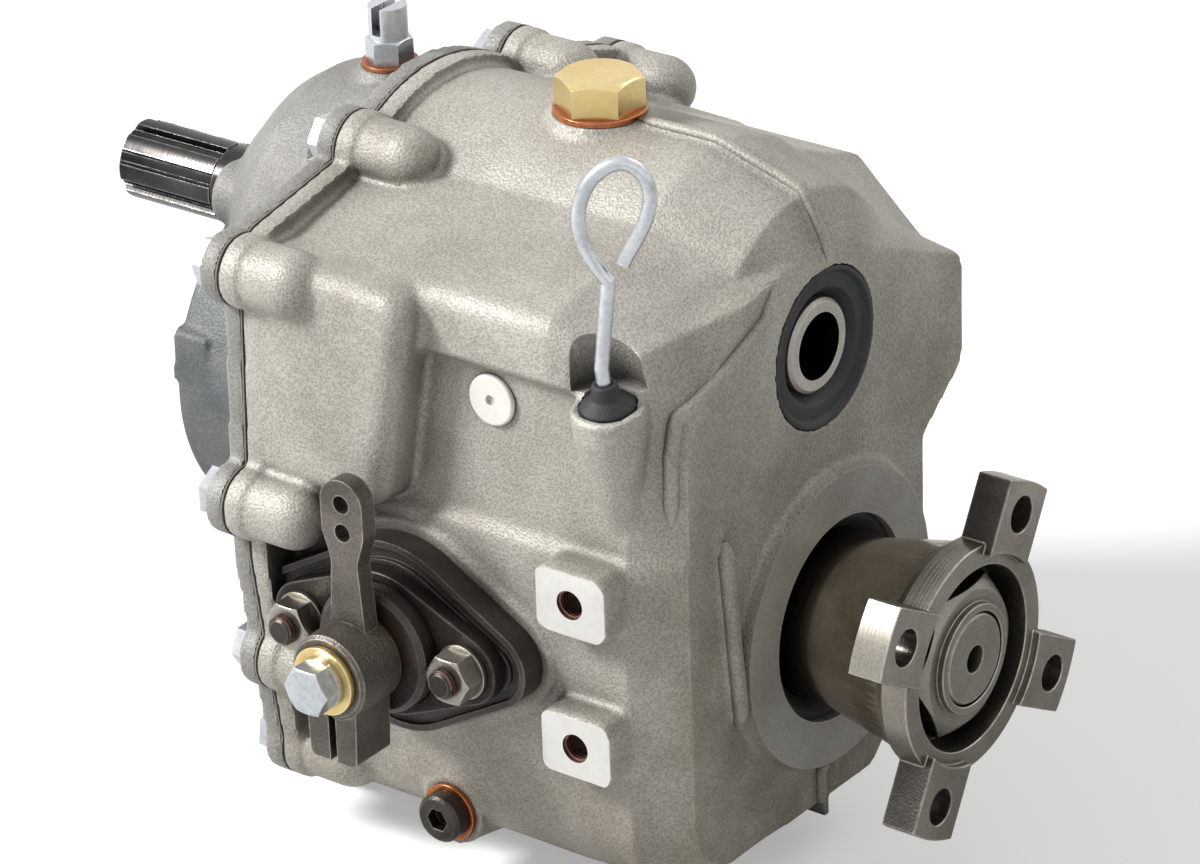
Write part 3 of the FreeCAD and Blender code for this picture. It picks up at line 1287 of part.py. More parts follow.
def parts():
    reverse0, reverse1 = reverse_x()
    forward0, forward1 = forward_x()
    return {
        "rear_housing": rear_housing(),
        "front_housing": front_housing(),
        "housing_gasket": housing_gasket(),
        "housing_bolts": housing_bolts(),
        "dowel_pins": dowel_pins(),
        "input_shaft": input_shaft(),
        "input_front_bearing": ball_bearing(input_journal_r, small_bearing_r, front_bearing_x,
                                            small_bearing_w, 0),
        "input_rear_bearing": ball_bearing(input_journal_r, small_bearing_r, input_rear_bearing_x,
                                           small_bearing_w, 0),
        "input_seal": lip_seal(seal_journal_r + running, input_seal_r, front_x + 1, input_seal_w, 0),
        "input_tail_seal": tail_seal(),
        "output_shaft": output_shaft(),
        "output_front_bearing": ball_bearing(output_front_journal_r, output_front_bearing_r,
                                             output_front_bearing_x,
                                             output_front_bearing_w, output_z),
        "output_rear_bearing": ball_bearing(output_rear_journal_r, output_rear_bearing_r,
                                            output_rear_bearing_x,
                                            output_rear_bearing_w, output_z),
        "output_seal": lip_seal(hub_back_r + running, output_seal_r,
                                output_face_x - output_seal_back - output_seal_w, output_seal_w, output_z),
        "output_coupling": output_coupling(),
        "coupling_nut": coupling_nut(),
        "forward_gear": forward_gear(),
        "forward_gear_bush": gear_bush(forward0, forward1),
        "reverse_gear": reverse_gear(),
        "reverse_gear_bush": gear_bush(reverse0, reverse1),
        "clutch_sleeve": clutch_sleeve(),
        "idler_gear": idler_gear(),
        "idler_bush": idler_bush(),
        "idler_pin": idler_pin(),
        "shift_cover": shift_cover(),
        "shift_flange": flange_plate(),
        "cover_studs": cover_studs(),
        "cover_washers": cover_washers(),
        "cover_nuts": cover_nuts(),
        "shift_bush": shift_bush(),
        "shift_shaft": shift_shaft(),
        "sliding_block": sliding_block(),
        "copper_ring": copper_ring(),
        "shift_lever": shift_lever(),
        "lever_washer": lever_washer(),
        "lever_bolt": lever_bolt(),
        "filler_plug": filler_plug(),
        "filler_washer": filler_washer(),
        "breather": breather(),
        "breather_washer": breather_washer(),
        "drain_plug": drain_plug(),
        "drain_washer": drain_washer(),
        "side_plug": side_plug(),
        "dipstick": dipstick(),
        "dipstick_bung": dipstick_bung(),
    }


os.makedirs("parts", exist_ok=True)
for name, shape in parts().items():
    shape.exportStep("parts/" + name + ".step")
    print(name, "solids", len(shape.Solids), "valid", shape.isValid(), "volume", round(shape.Volume))
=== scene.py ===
# %% [markdown]
# # Marine reduction gearbox
# A small boat's reversing gearbox: two rough aluminium castings bolted face to face, a splined shaft that
# the engine turns, a four-lug coupling for the propeller shaft, and a lever that picks ahead or astern.
# The scene starts from the finished solids, which already have the right sizes and places. It then gives
# each piece the surface that the workshop left on it: sand-cast skin, turned steel, black paint, zinc,
# brass, rubber.

import json
import math

import bmesh
import bpy
from mathutils import Matrix, Quaternion, Vector


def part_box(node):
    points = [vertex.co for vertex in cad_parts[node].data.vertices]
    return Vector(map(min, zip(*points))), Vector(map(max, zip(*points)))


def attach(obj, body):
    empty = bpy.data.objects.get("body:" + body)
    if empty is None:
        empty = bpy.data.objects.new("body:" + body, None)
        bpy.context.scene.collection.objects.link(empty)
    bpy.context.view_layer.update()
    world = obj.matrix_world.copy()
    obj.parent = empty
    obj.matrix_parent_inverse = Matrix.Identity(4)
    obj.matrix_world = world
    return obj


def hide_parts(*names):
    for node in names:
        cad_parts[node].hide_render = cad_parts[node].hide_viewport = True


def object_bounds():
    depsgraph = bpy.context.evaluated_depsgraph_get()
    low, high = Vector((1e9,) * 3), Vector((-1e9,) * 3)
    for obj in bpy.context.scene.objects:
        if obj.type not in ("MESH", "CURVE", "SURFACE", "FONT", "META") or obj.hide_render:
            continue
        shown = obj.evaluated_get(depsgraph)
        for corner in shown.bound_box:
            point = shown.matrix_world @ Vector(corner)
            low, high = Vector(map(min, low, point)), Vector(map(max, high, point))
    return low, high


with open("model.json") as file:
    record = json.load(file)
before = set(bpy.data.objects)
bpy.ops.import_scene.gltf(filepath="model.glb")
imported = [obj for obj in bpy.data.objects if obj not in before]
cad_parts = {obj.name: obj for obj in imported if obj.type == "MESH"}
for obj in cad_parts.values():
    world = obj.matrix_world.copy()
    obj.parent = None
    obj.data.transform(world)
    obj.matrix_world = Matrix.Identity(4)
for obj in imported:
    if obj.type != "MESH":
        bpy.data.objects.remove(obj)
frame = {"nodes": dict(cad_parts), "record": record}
cad_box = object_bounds()
print("pieces:", len(frame["nodes"]), "box in metres:", [round(c, 4) for corner in cad_box for c in corner])

# %% [markdown]
# ## Sizes that the surface work needs
# The solids are in metres, but a machinist thinks in millimetres, so the values below are written in
# millimetres, and the factor MM turns them into metres. The input shaft turns on the X axis of the frame.
# The output shaft's line and the faces are read back from the solids, not typed again: the middle of a
# round piece's box is its axis.

# %% Shaft lines and faces
MM = 0.001


def middle(node):
    low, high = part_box(node)
    return (low + high) / 2


def side_of(node, axis, end):
    """Coordinate of one face of a piece's box. The end is 0 for the low side and 1 for the high side."""
    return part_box(node)[end][axis]


input_line = Vector((0, 0, 0))
output_line = Vector((0, middle("output_seal").y, middle("output_seal").z))
joint_face_x = side_of("housing_gasket", 0, 1)
front_joint_face_x = side_of("housing_gasket", 0, 0)
tail_seal_sunk = 1.5 * MM
output_seal_sunk = 2.5 * MM
rear_face_x = side_of("input_tail_seal", 0, 1) + tail_seal_sunk
output_face_x = side_of("output_seal", 0, 1) + output_seal_sunk
bracket_face_y = -86.0 * MM
bracket_x = 166.2 * MM
bracket_rows_z = (-47.5 * MM, -91.0 * MM)
stick_tilt = math.radians(10)
stick_axis = Vector((0, -math.sin(stick_tilt), math.cos(stick_tilt)))
stick_mouth = Vector((174.0, -76.6, 11.0)) * MM
print("output shaft line z:", round(output_line.z, 5), "joint at x:", round(joint_face_x, 5))

# %% [markdown]
# ## Small helpers for node trees
# Every finish below is a node tree. Three short functions keep those trees readable: one adds a node and
# sets its plain settings, one fills its input sockets, and one draws the links, each from a node's named
# output to the next node's named input. A fourth turns a colour seen on a screen into the values that
# Blender works in.

# %% Node helpers
def add(tree, kind, **settings):
    node = tree.nodes.new(kind)
    for name, value in settings.items():
        setattr(node, name, value)
    return node


def put(node, **values):
    """Fills input sockets. A socket's name is written with _ for each space."""
    for name, value in values.items():
        node.inputs[name.replace("_", " ")].default_value = value
    return node


def wire(tree, *links):
    """Each link is a node, its output, the next node and its input."""
    for source, output, target, socket in links:
        tree.links.new(source.outputs[output], target.inputs[socket])


def linear(red, green, blue):
    """Colour picked on a screen, 0 to 255, as the linear values that Blender works in."""
    def one(level):
        level = level / 255
        return level / 12.92 if level <= 0.04045 else ((level + 0.055) / 1.055) ** 2.4
    return (one(red), one(green), one(blue), 1.0)


print("helpers ready")

# %% [markdown]
# ## Shared effect: cast grain
# Molten aluminium takes the print of the sand or the blasted die, so its skin is a fine, even grain with
# a slow mottling over it. An image of real sand would do, but it stretches where the form turns. Noise in
# three dimensions has no seams and costs nothing, so the group mixes a fine noise for the grain with a
# coarse one for the mottling, and puts out a colour factor and a height that a Bump node can use.

# %% Node group: cast grain
def new_group(name, inputs, outputs):
    """Shader node group with named sockets. Each socket is (name, type, default or None)."""
    group = bpy.data.node_groups.new(name, "ShaderNodeTree")
    for label, kind, value in inputs:
        socket = group.interface.new_socket(label, in_out="INPUT", socket_type=kind)
        if value is not None:
            socket.default_value = value
    for label, kind in outputs:
        group.interface.new_socket(label, in_out="OUTPUT", socket_type=kind)
    return group, add(group, "NodeGroupInput"), add(group, "NodeGroupOutput")


def cast_grain_group():
    group, given, made = new_group(
        "Cast grain",
        [("Grains per metre", "NodeSocketFloat", 1400.0), ("Mottling per metre", "NodeSocketFloat", 45.0)],
        [("Mottling", "NodeSocketFloat"), ("Height", "NodeSocketFloat")])
    place = add(group, "ShaderNodeTexCoord")
    fine = put(add(group, "ShaderNodeTexNoise"), Detail=3.0, Roughness=0.7)
    coarse = put(add(group, "ShaderNodeTexNoise"), Detail=5.0, Roughness=0.55)
    pits = add(group, "ShaderNodeTexVoronoi")
    sparser = add(group, "ShaderNodeMath", operation="MULTIPLY")
    sparser.inputs[1].default_value = 0.8
    blend = add(group, "ShaderNodeMath", operation="ADD")
    for texture in (fine, coarse, pits):
        wire(group, (place, "Object", texture, "Vector"))
    wire(group, (given, "Grains per metre", fine, "Scale"),
         (given, "Mottling per metre", coarse, "Scale"), (given, "Grains per metre", sparser, 0),
         (sparser, 0, pits, "Scale"), (fine, 0, blend, 0), (pits, "Distance", blend, 1),
         (blend, 0, made, "Height"), (coarse, 0, made, "Mottling"))
    return group


cast_grain = cast_grain_group()
print("sockets of", cast_grain.name, [s.name for s in cast_grain.interface.items_tree])

# %% [markdown]
# ## Shared effect: worn edges and dirt in corners, with painted highlight and painted shade
# Handling polishes the outer edges of metal, and oil with dust stays in the inner corners. The same two
# marks
# also paint light: a painted highlight on every outer edge, and painted shade in every inner corner and
# recess.
# Painting both by hand would have to be done again after each change of shape. Two nodes find them from the
# shape
# itself: the Bevel node's rounded normal departs from the flat one near an edge, and Ambient Occlusion is
# dark in corners.

# %% Node group: edges and corners
def edges_group():
    group, given, made = new_group(
        "Edges and corners",
        [("Edge width", "NodeSocketFloat", 0.0008), ("Corner reach", "NodeSocketFloat", 0.012),
         ("Break up per metre", "NodeSocketFloat", 260.0)],
        [("Edge", "NodeSocketFloat"), ("Corner", "NodeSocketFloat")])
    place = add(group, "ShaderNodeTexCoord")
    flat = add(group, "ShaderNodeNewGeometry")
    # Edge: where the rounded normal turns from the flat one; worn edges, and a painted highlight on every
    # outer edge.
    rounded = add(group, "ShaderNodeBevel", samples=4)
    dot = add(group, "ShaderNodeVectorMath", operation="DOT_PRODUCT")
    turned_away = put(add(group, "ShaderNodeMapRange"), From_Min=0.998, From_Max=0.93)
    noise = put(add(group, "ShaderNodeTexNoise"), Detail=4.0, Roughness=0.6)
    patchy = put(add(group, "ShaderNodeMapRange"), From_Min=0.35, From_Max=0.6, To_Min=0.25, To_Max=1.0)
    edge = add(group, "ShaderNodeMath", operation="MULTIPLY")
    # Corner: Ambient Occlusion, dark where little light reaches; dirt, and painted shade in corners and
    # recesses.
    hollow = add(group, "ShaderNodeAmbientOcclusion", samples=6)
    corner = put(add(group, "ShaderNodeMapRange"), From_Min=0.85, From_Max=0.25)
    wire(group, (given, "Edge width", rounded, "Radius"), (rounded, 0, dot, 0),
         (flat, "Normal", dot, 1), (dot, "Value", turned_away, "Value"),
         (place, "Object", noise, "Vector"), (given, "Break up per metre", noise, "Scale"),
         (noise, 0, patchy, "Value"), (turned_away, 0, edge, 0), (patchy, 0, edge, 1),
         (edge, 0, made, "Edge"), (given, "Corner reach", hollow, "Distance"),
         (hollow, "AO", corner, "Value"), (corner, 0, made, "Corner"))
    return group


edges_and_corners = edges_group()
print("sockets of", edges_and_corners.name, [s.name for s in edges_and_corners.interface.items_tree])

# %% [markdown]
# ## Shared effect: turning rings
# A lathe tool leaves fine rings about the axis that it turned. A wave texture could draw them, but its
# rings are all alike. Here the distance from the axis feeds a one-dimensional noise, so the rings differ
# as real ones do. The axis is an input, because the two shafts and the lever's shaft lie in different
# places.

# %% Node group: turning rings
def rings_group():
    group, given, made = new_group(
        "Turning rings",
        [("Centre", "NodeSocketVector", (0.0, 0.0, 0.0)),
         ("Across axis", "NodeSocketVector", (0.0, 1.0, 1.0)),
         ("Rings per metre", "NodeSocketFloat", 1600.0), ("Along per metre", "NodeSocketFloat", 900.0)],
        [("Rings", "NodeSocketFloat")])
    place = add(group, "ShaderNodeTexCoord")
    offset = add(group, "ShaderNodeVectorMath", operation="SUBTRACT")
    across = add(group, "ShaderNodeVectorMath", operation="MULTIPLY")
    radius = add(group, "ShaderNodeVectorMath", operation="LENGTH")
    lengthways = add(group, "ShaderNodeVectorMath", operation="SUBTRACT")
    along = add(group, "ShaderNodeVectorMath", operation="LENGTH")
    face = add(group, "ShaderNodeTexNoise", noise_dimensions="1D")
    flank = add(group, "ShaderNodeTexNoise", noise_dimensions="1D")
    both = add(group, "ShaderNodeMath", operation="ADD")
    wire(group, (place, "Object", offset, 0), (given, "Centre", offset, 1), (offset, 0, across, 0),
         (given, "Across axis", across, 1), (across, 0, radius, 0), (offset, 0, lengthways, 0),
         (across, 0, lengthways, 1), (lengthways, 0, along, 0), (radius, "Value", face, "W"),
         (given, "Rings per metre", face, "Scale"), (along, "Value", flank, "W"),
         (given, "Along per metre", flank, "Scale"), (face, 0, both, 0), (flank, 0, both, 1),
         (both, 0, made, "Rings"))
    return group


turning_rings = rings_group()
print("sockets of", turning_rings.name, [s.name for s in turning_rings.interface.items_tree])

# %% [markdown]
# ## Finish: a metal of the workshop
# Most pieces share one recipe. A base colour is mottled by slow noise, goes brighter on worn edges, which
# is partly a painted highlight, and darker in corners, which is oil and painted shade, and the roughness
# follows.
# What differs is the colour, how metallic it is, how rough, and how deep the grain goes, so the recipe is
# one function and each finish is one call with its own values.

# %% Material builder
grain_depth = 0.4 * MM
ring_depth = 0.15 * MM


def use(tree, group):
    return add(tree, "ShaderNodeGroup", node_tree=group)


def mix_colour(tree, kind="MIX"):
    return add(tree, "ShaderNodeMix", data_type="RGBA", blend_type=kind)


def metal(name, base, shade, worn, dirt_and_shade, metallic, rough, grain, bump, edge=0.6, corner=0.7, reach=10.0,
          mottling=45.0, edge_width=0.7, speckle=0.08, rings=None, ring_share=0.0):
    """Four screen colours: base and shade mottle the skin, worn lies on the edges as wear and a painted
    highlight, dirt_and_shade lies in the corners as dirt and painted shade. Grain, reach and edge_width are
    in millimetres."""
    material = bpy.data.materials.new(name)
    material.use_nodes = True
    tree = material.node_tree
    shader = tree.nodes["Principled BSDF"]
    grains = put(use(tree, cast_grain), Grains_per_metre=1000.0 / grain, Mottling_per_metre=mottling)
    marks = put(use(tree, edges_and_corners), Edge_width=edge_width * MM, Corner_reach=reach * MM)
    tone = put(add(tree, "ShaderNodeMapRange"), From_Min=0.38, From_Max=0.64)
    wire(tree, (grains, "Mottling", tone, "Value"))
    skin = mix_colour(tree)
    skin.inputs["A"].default_value = linear(*base)
    skin.inputs["B"].default_value = linear(*shade)
    wire(tree, (tone, 0, skin, "Factor"))
    speck = put(add(tree, "ShaderNodeMapRange"), From_Min=0.6, From_Max=1.2, To_Min=1.0 - speckle,
                To_Max=1.0 + speckle)
    wire(tree, (grains, "Height", speck, "Value"))
    speckled = mix_colour(tree, "MULTIPLY")
    speckled.inputs["Factor"].default_value = 1.0
    wire(tree, (skin, "Result", speckled, "A"), (speck, 0, speckled, "B"))
    # Edge colour: wear, and a painted highlight on every outer edge.
    edge_share = add(tree, "ShaderNodeMath", operation="MULTIPLY")
    edge_share.inputs[1].default_value = edge
    wire(tree, (marks, "Edge", edge_share, 0))
    edged = mix_colour(tree)
    wire(tree, (speckled, "Result", edged, "A"))
    edged.inputs["B"].default_value = linear(*worn)
    wire(tree, (edge_share, 0, edged, "Factor"))
    # Corner colour: dirt, and painted shade in corners and recesses.
    corner_share = add(tree, "ShaderNodeMath", operation="MULTIPLY")
    corner_share.inputs[1].default_value = corner
    wire(tree, (marks, "Corner", corner_share, 0))
    dirt_and_shade_mix = mix_colour(tree)
    wire(tree, (edged, "Result", dirt_and_shade_mix, "A"))
    dirt_and_shade_mix.inputs["B"].default_value = linear(*dirt_and_shade)
    wire(tree, (corner_share, 0, dirt_and_shade_mix, "Factor"), (dirt_and_shade_mix, "Result", shader, "Base Color"))
    roughness = put(add(tree, "ShaderNodeMapRange"), From_Min=0.3, From_Max=0.7,
                    To_Min=rough - 0.07, To_Max=rough + 0.09)
    wire(tree, (grains, "Mottling", roughness, "Value"), (roughness, 0, shader, "Roughness"))
    shader.inputs["Metallic"].default_value = metallic
    relief = put(add(tree, "ShaderNodeBump"), Strength=bump, Distance=grain_depth)
    wire(tree, (grains, "Height", relief, "Height"))
    if rings is not None:
        turned = put(use(tree, turning_rings), Centre=rings[0], Across_axis=rings[1])
        wire(tree, (turned, "Rings", relief, "Height"))
        put(relief, Strength=ring_share, Distance=ring_depth)
    wire(tree, (relief, "Normal", shader, "Normal"))
    return material


about_x = (0.0, 1.0, 1.0)
about_y = (1.0, 0.0, 1.0)
print("material builder ready")

# %% [markdown]
# ## Finish: aluminium, as cast and as machined
# The rear casting is a warm light grey. The front one has a duller skin from another foundry batch. Where
# a cutter has been, at the bracket pads, the joint and the seats of the screws, the metal is paler and
# smoother, so those faces have a material of their own. The boss of the output shaft has a third one: it
# was only skimmed, so some of the cast skin's tone still shows.

# %% Aluminium finishes
# On both castings the dark corner colour, at full share and with a 22 mm reach, is painted shade in corners
# and recesses as well as oil; the pale edge colour is wear and a painted highlight.
cast_aluminium = metal(
    "cast_aluminium", (174, 170, 161), (152, 147, 138), (222, 219, 211), (34, 31, 27),
    metallic=0.2, rough=0.5, grain=0.62, bump=0.4, edge=0.6, corner=1.0, reach=22, edge_width=1.3,
    mottling=26, speckle=0.24)
front_aluminium = metal(
    "cast_grey", (145, 144, 139), (126, 124, 119), (200, 199, 194), (32, 30, 28),
    metallic=0.2, rough=0.52, grain=0.62, bump=0.4, edge=0.55, corner=1.0, reach=22, edge_width=1.3,
    mottling=26, speckle=0.2)
machined_aluminium = metal(
    "machined_aluminium", (214, 213, 208), (208, 207, 202), (232, 231, 227),
    (90, 86, 78), metallic=0.3, rough=0.36, grain=2.2, bump=0.03, edge=0.5, corner=0.5, reach=4,
    speckle=0.03)
skimmed_aluminium = metal(
    "skimmed_aluminium", (158, 156, 149), (146, 143, 136), (206, 204, 198),
    (50, 46, 40), metallic=0.35, rough=0.42, grain=0.7, bump=0.12, edge=0.7, corner=0.7, reach=8,
    speckle=0.1)
print("aluminium finishes:", cast_aluminium.name, front_aluminium.name, machined_aluminium.name)

# %% [markdown]
# The castings are not one even tone. On the front casting the lower part of the drum, which faces the
# engine, is made darker and bluer. The rear face of the rear casting carries painted shade, darker towards
# the bottom, with old oil round the output shaft. The darkening follows the form, so two ramps on the
# piece's own coordinates, one along X and one along Z, find their part, and a noise breaks up the border. A
# third darkening is painted shade on the lowest part of the rear casting, darker towards the bottom.

# %% Darkening that follows the form: painted shade on the rear casting, a darker drum on the front one
def stain(material, tone, x_limits, z_limits, faintest=0.72):
    """Multiplies the colour by tone. Each pair of limits is in millimetres: from no darkening to full
    darkening.
    """
    tree = material.node_tree
    shader = tree.nodes["Principled BSDF"]
    before_darkening = shader.inputs["Base Color"].links[0].from_socket
    place = add(tree, "ShaderNodeTexCoord")
    apart = add(tree, "ShaderNodeSeparateXYZ")
    patchy = put(add(tree, "ShaderNodeTexNoise"), Scale=60.0, Detail=4.0)
    along_x = put(add(tree, "ShaderNodeMapRange"), From_Min=x_limits[0] * MM, From_Max=x_limits[1] * MM)
    along_z = put(add(tree, "ShaderNodeMapRange"), From_Min=z_limits[0] * MM, From_Max=z_limits[1] * MM)
    both = add(tree, "ShaderNodeMath", operation="MULTIPLY")
    # worn is here the patchy strength of the darkening, which on the rear casting is painted shade, not
    # wear.
    worn = put(add(tree, "ShaderNodeMapRange"), From_Min=0.35, From_Max=0.6, To_Min=faintest, To_Max=1.0)
    share = add(tree, "ShaderNodeMath", operation="MULTIPLY")
    darker = mix_colour(tree, "MULTIPLY")
    darker.inputs["B"].default_value = tone
    wire(tree, (place, "Object", apart, 0), (place, "Object", patchy, "Vector"),
         (apart, "X", along_x, "Value"), (apart, "Z", along_z, "Value"), (along_x, 0, both, 0),
         (along_z, 0, both, 1), (patchy, 0, worn, "Value"), (both, 0, share, 0), (worn, 0, share, 1),
         (share, 0, darker, "Factor"))
    tree.links.new(before_darkening, darker.inputs["A"])
    wire(tree, (darker, "Result", shader, "Base Color"))


# The lower part of the front casting's drum, made darker and bluer.
stain(front_aluminium, (0.33, 0.38, 0.42, 1), x_limits=(46, 43), z_limits=(16, 2))
# Painted shade on the rear face, darker towards the bottom, with old oil round the output shaft.
stain(cast_aluminium, (0.76, 0.74, 0.69, 1), x_limits=(176, 189), z_limits=(70, -30), faintest=0.5)
# Painted shade on the lowest part of the rear casting, darker towards the bottom.
stain(cast_aluminium, (0.7, 0.68, 0.64, 1), x_limits=(50, 60), z_limits=(-55, -125), faintest=0.6)
print("stains on", front_aluminium.name, "and", cast_aluminium.name)

# %% [markdown]
# ## Finish: steels, plating, brass and copper
# Steel from the lathe is oiled and brown-grey. The splined shaft is blacker, with bright lands, and its
# tail is bare and pale. The coupling's barrel mirrors the studio, while the flanks of its lugs keep the
# scale of the forge. The lever is a darker, duller steel, and bare threads have rust on them. Screws are
# zinc-plated, which is pale and a little blue. The filler plug is brass, its washer copper.

# %% Metal finishes
rings_output = (tuple(output_line), about_x)
rings_input = (tuple(input_line), about_x)
shift_line = middle("shift_bush")
rings_shift = (tuple(shift_line), about_y)
coupling_steel = metal(
    "coupling_steel", (152, 147, 137), (126, 120, 110), (228, 224, 214), (22, 19, 16),
    metallic=0.8, rough=0.27, grain=0.6, bump=0.1, edge=0.8, corner=0.9, reach=11, mottling=38.0,
    speckle=0.14, rings=rings_output, ring_share=0.3)
shaft_steel = metal(
    "shaft_steel", (70, 68, 66), (34, 33, 33), (190, 190, 188), (14, 13, 12),
    metallic=0.95, rough=0.26, grain=1.6, bump=0.05, edge=0.7, corner=0.9, reach=4, rings=rings_input,
    ring_share=0.2)
turned_steel = metal(
    "turned_steel", (164, 160, 151), (140, 135, 126), (222, 219, 212), (40, 35, 30),
    metallic=0.9, rough=0.3, grain=1.6, bump=0.1, edge=0.7, corner=0.8, reach=6, rings=rings_shift,
    ring_share=0.3)
lever_steel = metal(
    "lever_steel", (104, 98, 91), (80, 75, 69), (196, 192, 184), (22, 19, 17),
    metallic=0.6, rough=0.42, grain=0.7, bump=0.3, edge=0.8, corner=0.9, reach=8, speckle=0.2)
dark_steel = metal(
    "dark_steel", (66, 61, 56), (44, 40, 37), (150, 146, 140), (16, 14, 13),
    metallic=0.75, rough=0.42, grain=1.0, bump=0.25, edge=0.6, corner=0.8, reach=6)
gear_steel = metal(
    "gear_steel", (172, 172, 173), (140, 141, 143), (220, 220, 221), (50, 46, 40),
    metallic=1.0, rough=0.24, grain=1.6, bump=0.05, edge=0.6, corner=0.6, reach=5)
zinc = metal(
    "zinc", (208, 211, 214), (186, 191, 196), (236, 238, 240), (70, 68, 64),
    metallic=0.9, rough=0.27, grain=1.3, bump=0.06, edge=0.5, corner=0.65, reach=4)
brass = metal(
    "brass", (232, 208, 148), (222, 194, 130), (250, 235, 196), (104, 74, 38),
    metallic=0.9, rough=0.24, grain=1.8, bump=0.03, edge=0.7, corner=0.7, reach=5, speckle=0.03)
copper = metal(
    "copper", (186, 116, 78), (150, 86, 56), (224, 160, 120), (80, 44, 26),
    metallic=0.95, rough=0.3, grain=1.4, bump=0.08, edge=0.5, corner=0.5, reach=3)
barrel_steel = metal(
    "barrel_steel", (168, 158, 142), (138, 128, 112), (228, 224, 214), (16, 13, 11),
    metallic=1.0, rough=0.19, grain=0.9, bump=0.0, edge=0.6, corner=0.95, reach=14, mottling=50.0,
    speckle=0.06, rings=rings_output, ring_share=0.16)
forged_steel = metal(
    "forged_steel", (66, 61, 56), (48, 44, 41), (186, 180, 170), (14, 12, 11),
    metallic=0.6, rough=0.46, grain=0.6, bump=0.25, edge=0.9, corner=0.8, reach=8, mottling=60.0,
    speckle=0.2)
tail_steel = metal(
    "tail_steel", (186, 183, 175), (168, 164, 155), (226, 223, 216), (60, 50, 40),
    metallic=0.6, rough=0.4, grain=0.7, bump=0.1, edge=0.7, corner=0.8, reach=3, speckle=0.08,
    rings=rings_input, ring_share=0.2)
rusty_thread = metal(
    "rusty_thread", (118, 76, 66), (84, 50, 44), (188, 160, 146), (30, 16, 14),
    metallic=0.4, rough=0.5, grain=0.7, bump=0.2, edge=0.6, corner=0.8, reach=3, speckle=0.2)
bronze = metal(
    "bronze", (176, 142, 92), (150, 118, 72), (214, 184, 132), (70, 50, 28),
    metallic=0.95, rough=0.3, grain=1.4, bump=0.06)
print("metal finishes:", len([m for m in bpy.data.materials if m.use_nodes]))

# %% [markdown]
# ## Finish: paint, rubber, paper and plastic
# The shift cover is black paint over a casting, worn to metal on its edges, which also carry a painted
# highlight. The shaft seals and the dipstick's bung are rubber: matt, nearly black, and dusty on their
# edges, where the light edge colour is also a painted highlight. The gasket is grey fibre, the side plug
# pale.

# %% Paint, rubber, paper and plastic
black_paint = metal(
    "black_cover", (60, 54, 48), (44, 39, 35), (134, 127, 117), (12, 10, 9),
    metallic=0.15, rough=0.42, grain=0.6, bump=0.3, edge=0.7, corner=0.8, reach=7, speckle=0.25)
rubber = metal(
    "rubber", (44, 45, 46), (32, 33, 34), (86, 86, 86), (14, 14, 14),
    metallic=0.0, rough=0.62, grain=0.7, bump=0.22, edge=0.4, corner=0.5, reach=4)
gasket_paper = metal(
    "gasket_paper", (128, 124, 117), (104, 100, 94), (150, 146, 140), (52, 50, 46),
    metallic=0.0, rough=0.85, grain=0.5, bump=0.3, edge=0.2, corner=0.4)
white_plastic = metal(
    "white_plastic", (226, 224, 216), (219, 217, 209), (240, 239, 234), (110, 104, 94),
    metallic=0.0, rough=0.4, grain=1.5, bump=0.03, edge=0.3, corner=0.5, reach=4, speckle=0.02)
finish_of_slot = {
    "cast_aluminium": cast_aluminium, "cast_grey": front_aluminium, "machined_steel": turned_steel,
    "dark_steel": dark_steel, "gear_steel": gear_steel, "black_cover": black_paint, "zinc": zinc,
    "brass": brass, "copper": copper, "bronze": bronze, "rubber": rubber, "gasket_paper": gasket_paper,
    "white_plastic": white_plastic}
print("finishes for the record's slots:", len(finish_of_slot))

# %% [markdown]
# ## Dress every solid once
# First each solid gets its finish by the material name that the record gives it. Pieces that are rebuilt
# further down take over from their solid there. What stays, such as gears and bearings inside, is done.

# %% Finish each solid
slot_of = {part["node"]: part["material_slot"] for part in frame["record"]["subparts"]}
body_of = {node: body for body, nodes in frame["record"]["behaviour"]["bodies"].items() for node in nodes}
for node, solid in frame["nodes"].items():
    solid.data.materials.clear()
    solid.data.materials.append(finish_of_slot[slot_of[node]])
print("solids dressed:", len(slot_of))

# %% [markdown]
# ## Copies to work on
# A solid's mesh is loose triangles. A copy is merged into one skin first, and flat areas are joined into
# single faces, because a bevel only behaves on real edges.

# %% Copy, settle and place pieces
same_point = 0.002 * MM


def new_object(name, mesh):
    thing = bpy.data.objects.new(name, mesh)
    bpy.context.scene.collection.objects.link(thing)
    return thing


def solid_copy(node, flat_deg=0.0):
    mesh = frame["nodes"][node].data.copy()
    shape = bmesh.new()
    shape.from_mesh(mesh)
    bmesh.ops.remove_doubles(shape, verts=shape.verts, dist=same_point)
    if flat_deg:
        bmesh.ops.dissolve_limit(shape, angle_limit=math.radians(flat_deg), verts=shape.verts,
                                 edges=shape.edges)
    shape.to_mesh(mesh)
    shape.free()
    return new_object(node + "_made", mesh)


def settle(thing):
    """Turns a piece with live modifiers into one plain mesh."""
    graph = bpy.context.evaluated_depsgraph_get()
    graph.update()
    plain = bpy.data.meshes.new_from_object(thing.evaluated_get(graph))
    thing.modifiers.clear()
    thing.data = plain
    return thing


def smooth(thing, sharp_deg):
    thing.data.shade_smooth()
    thing.data.set_sharp_from_angle(angle=math.radians(sharp_deg))
    return thing


def stands_for(thing, *nodes):
    """The piece rides on the body of the solids that it takes over from."""
    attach(thing, body_of[nodes[0]])
    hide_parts(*nodes)
    return thing


def triangles(thing):
    return sum(len(face.vertices) - 2 for face in thing.data.polygons)


print("piece helpers ready")

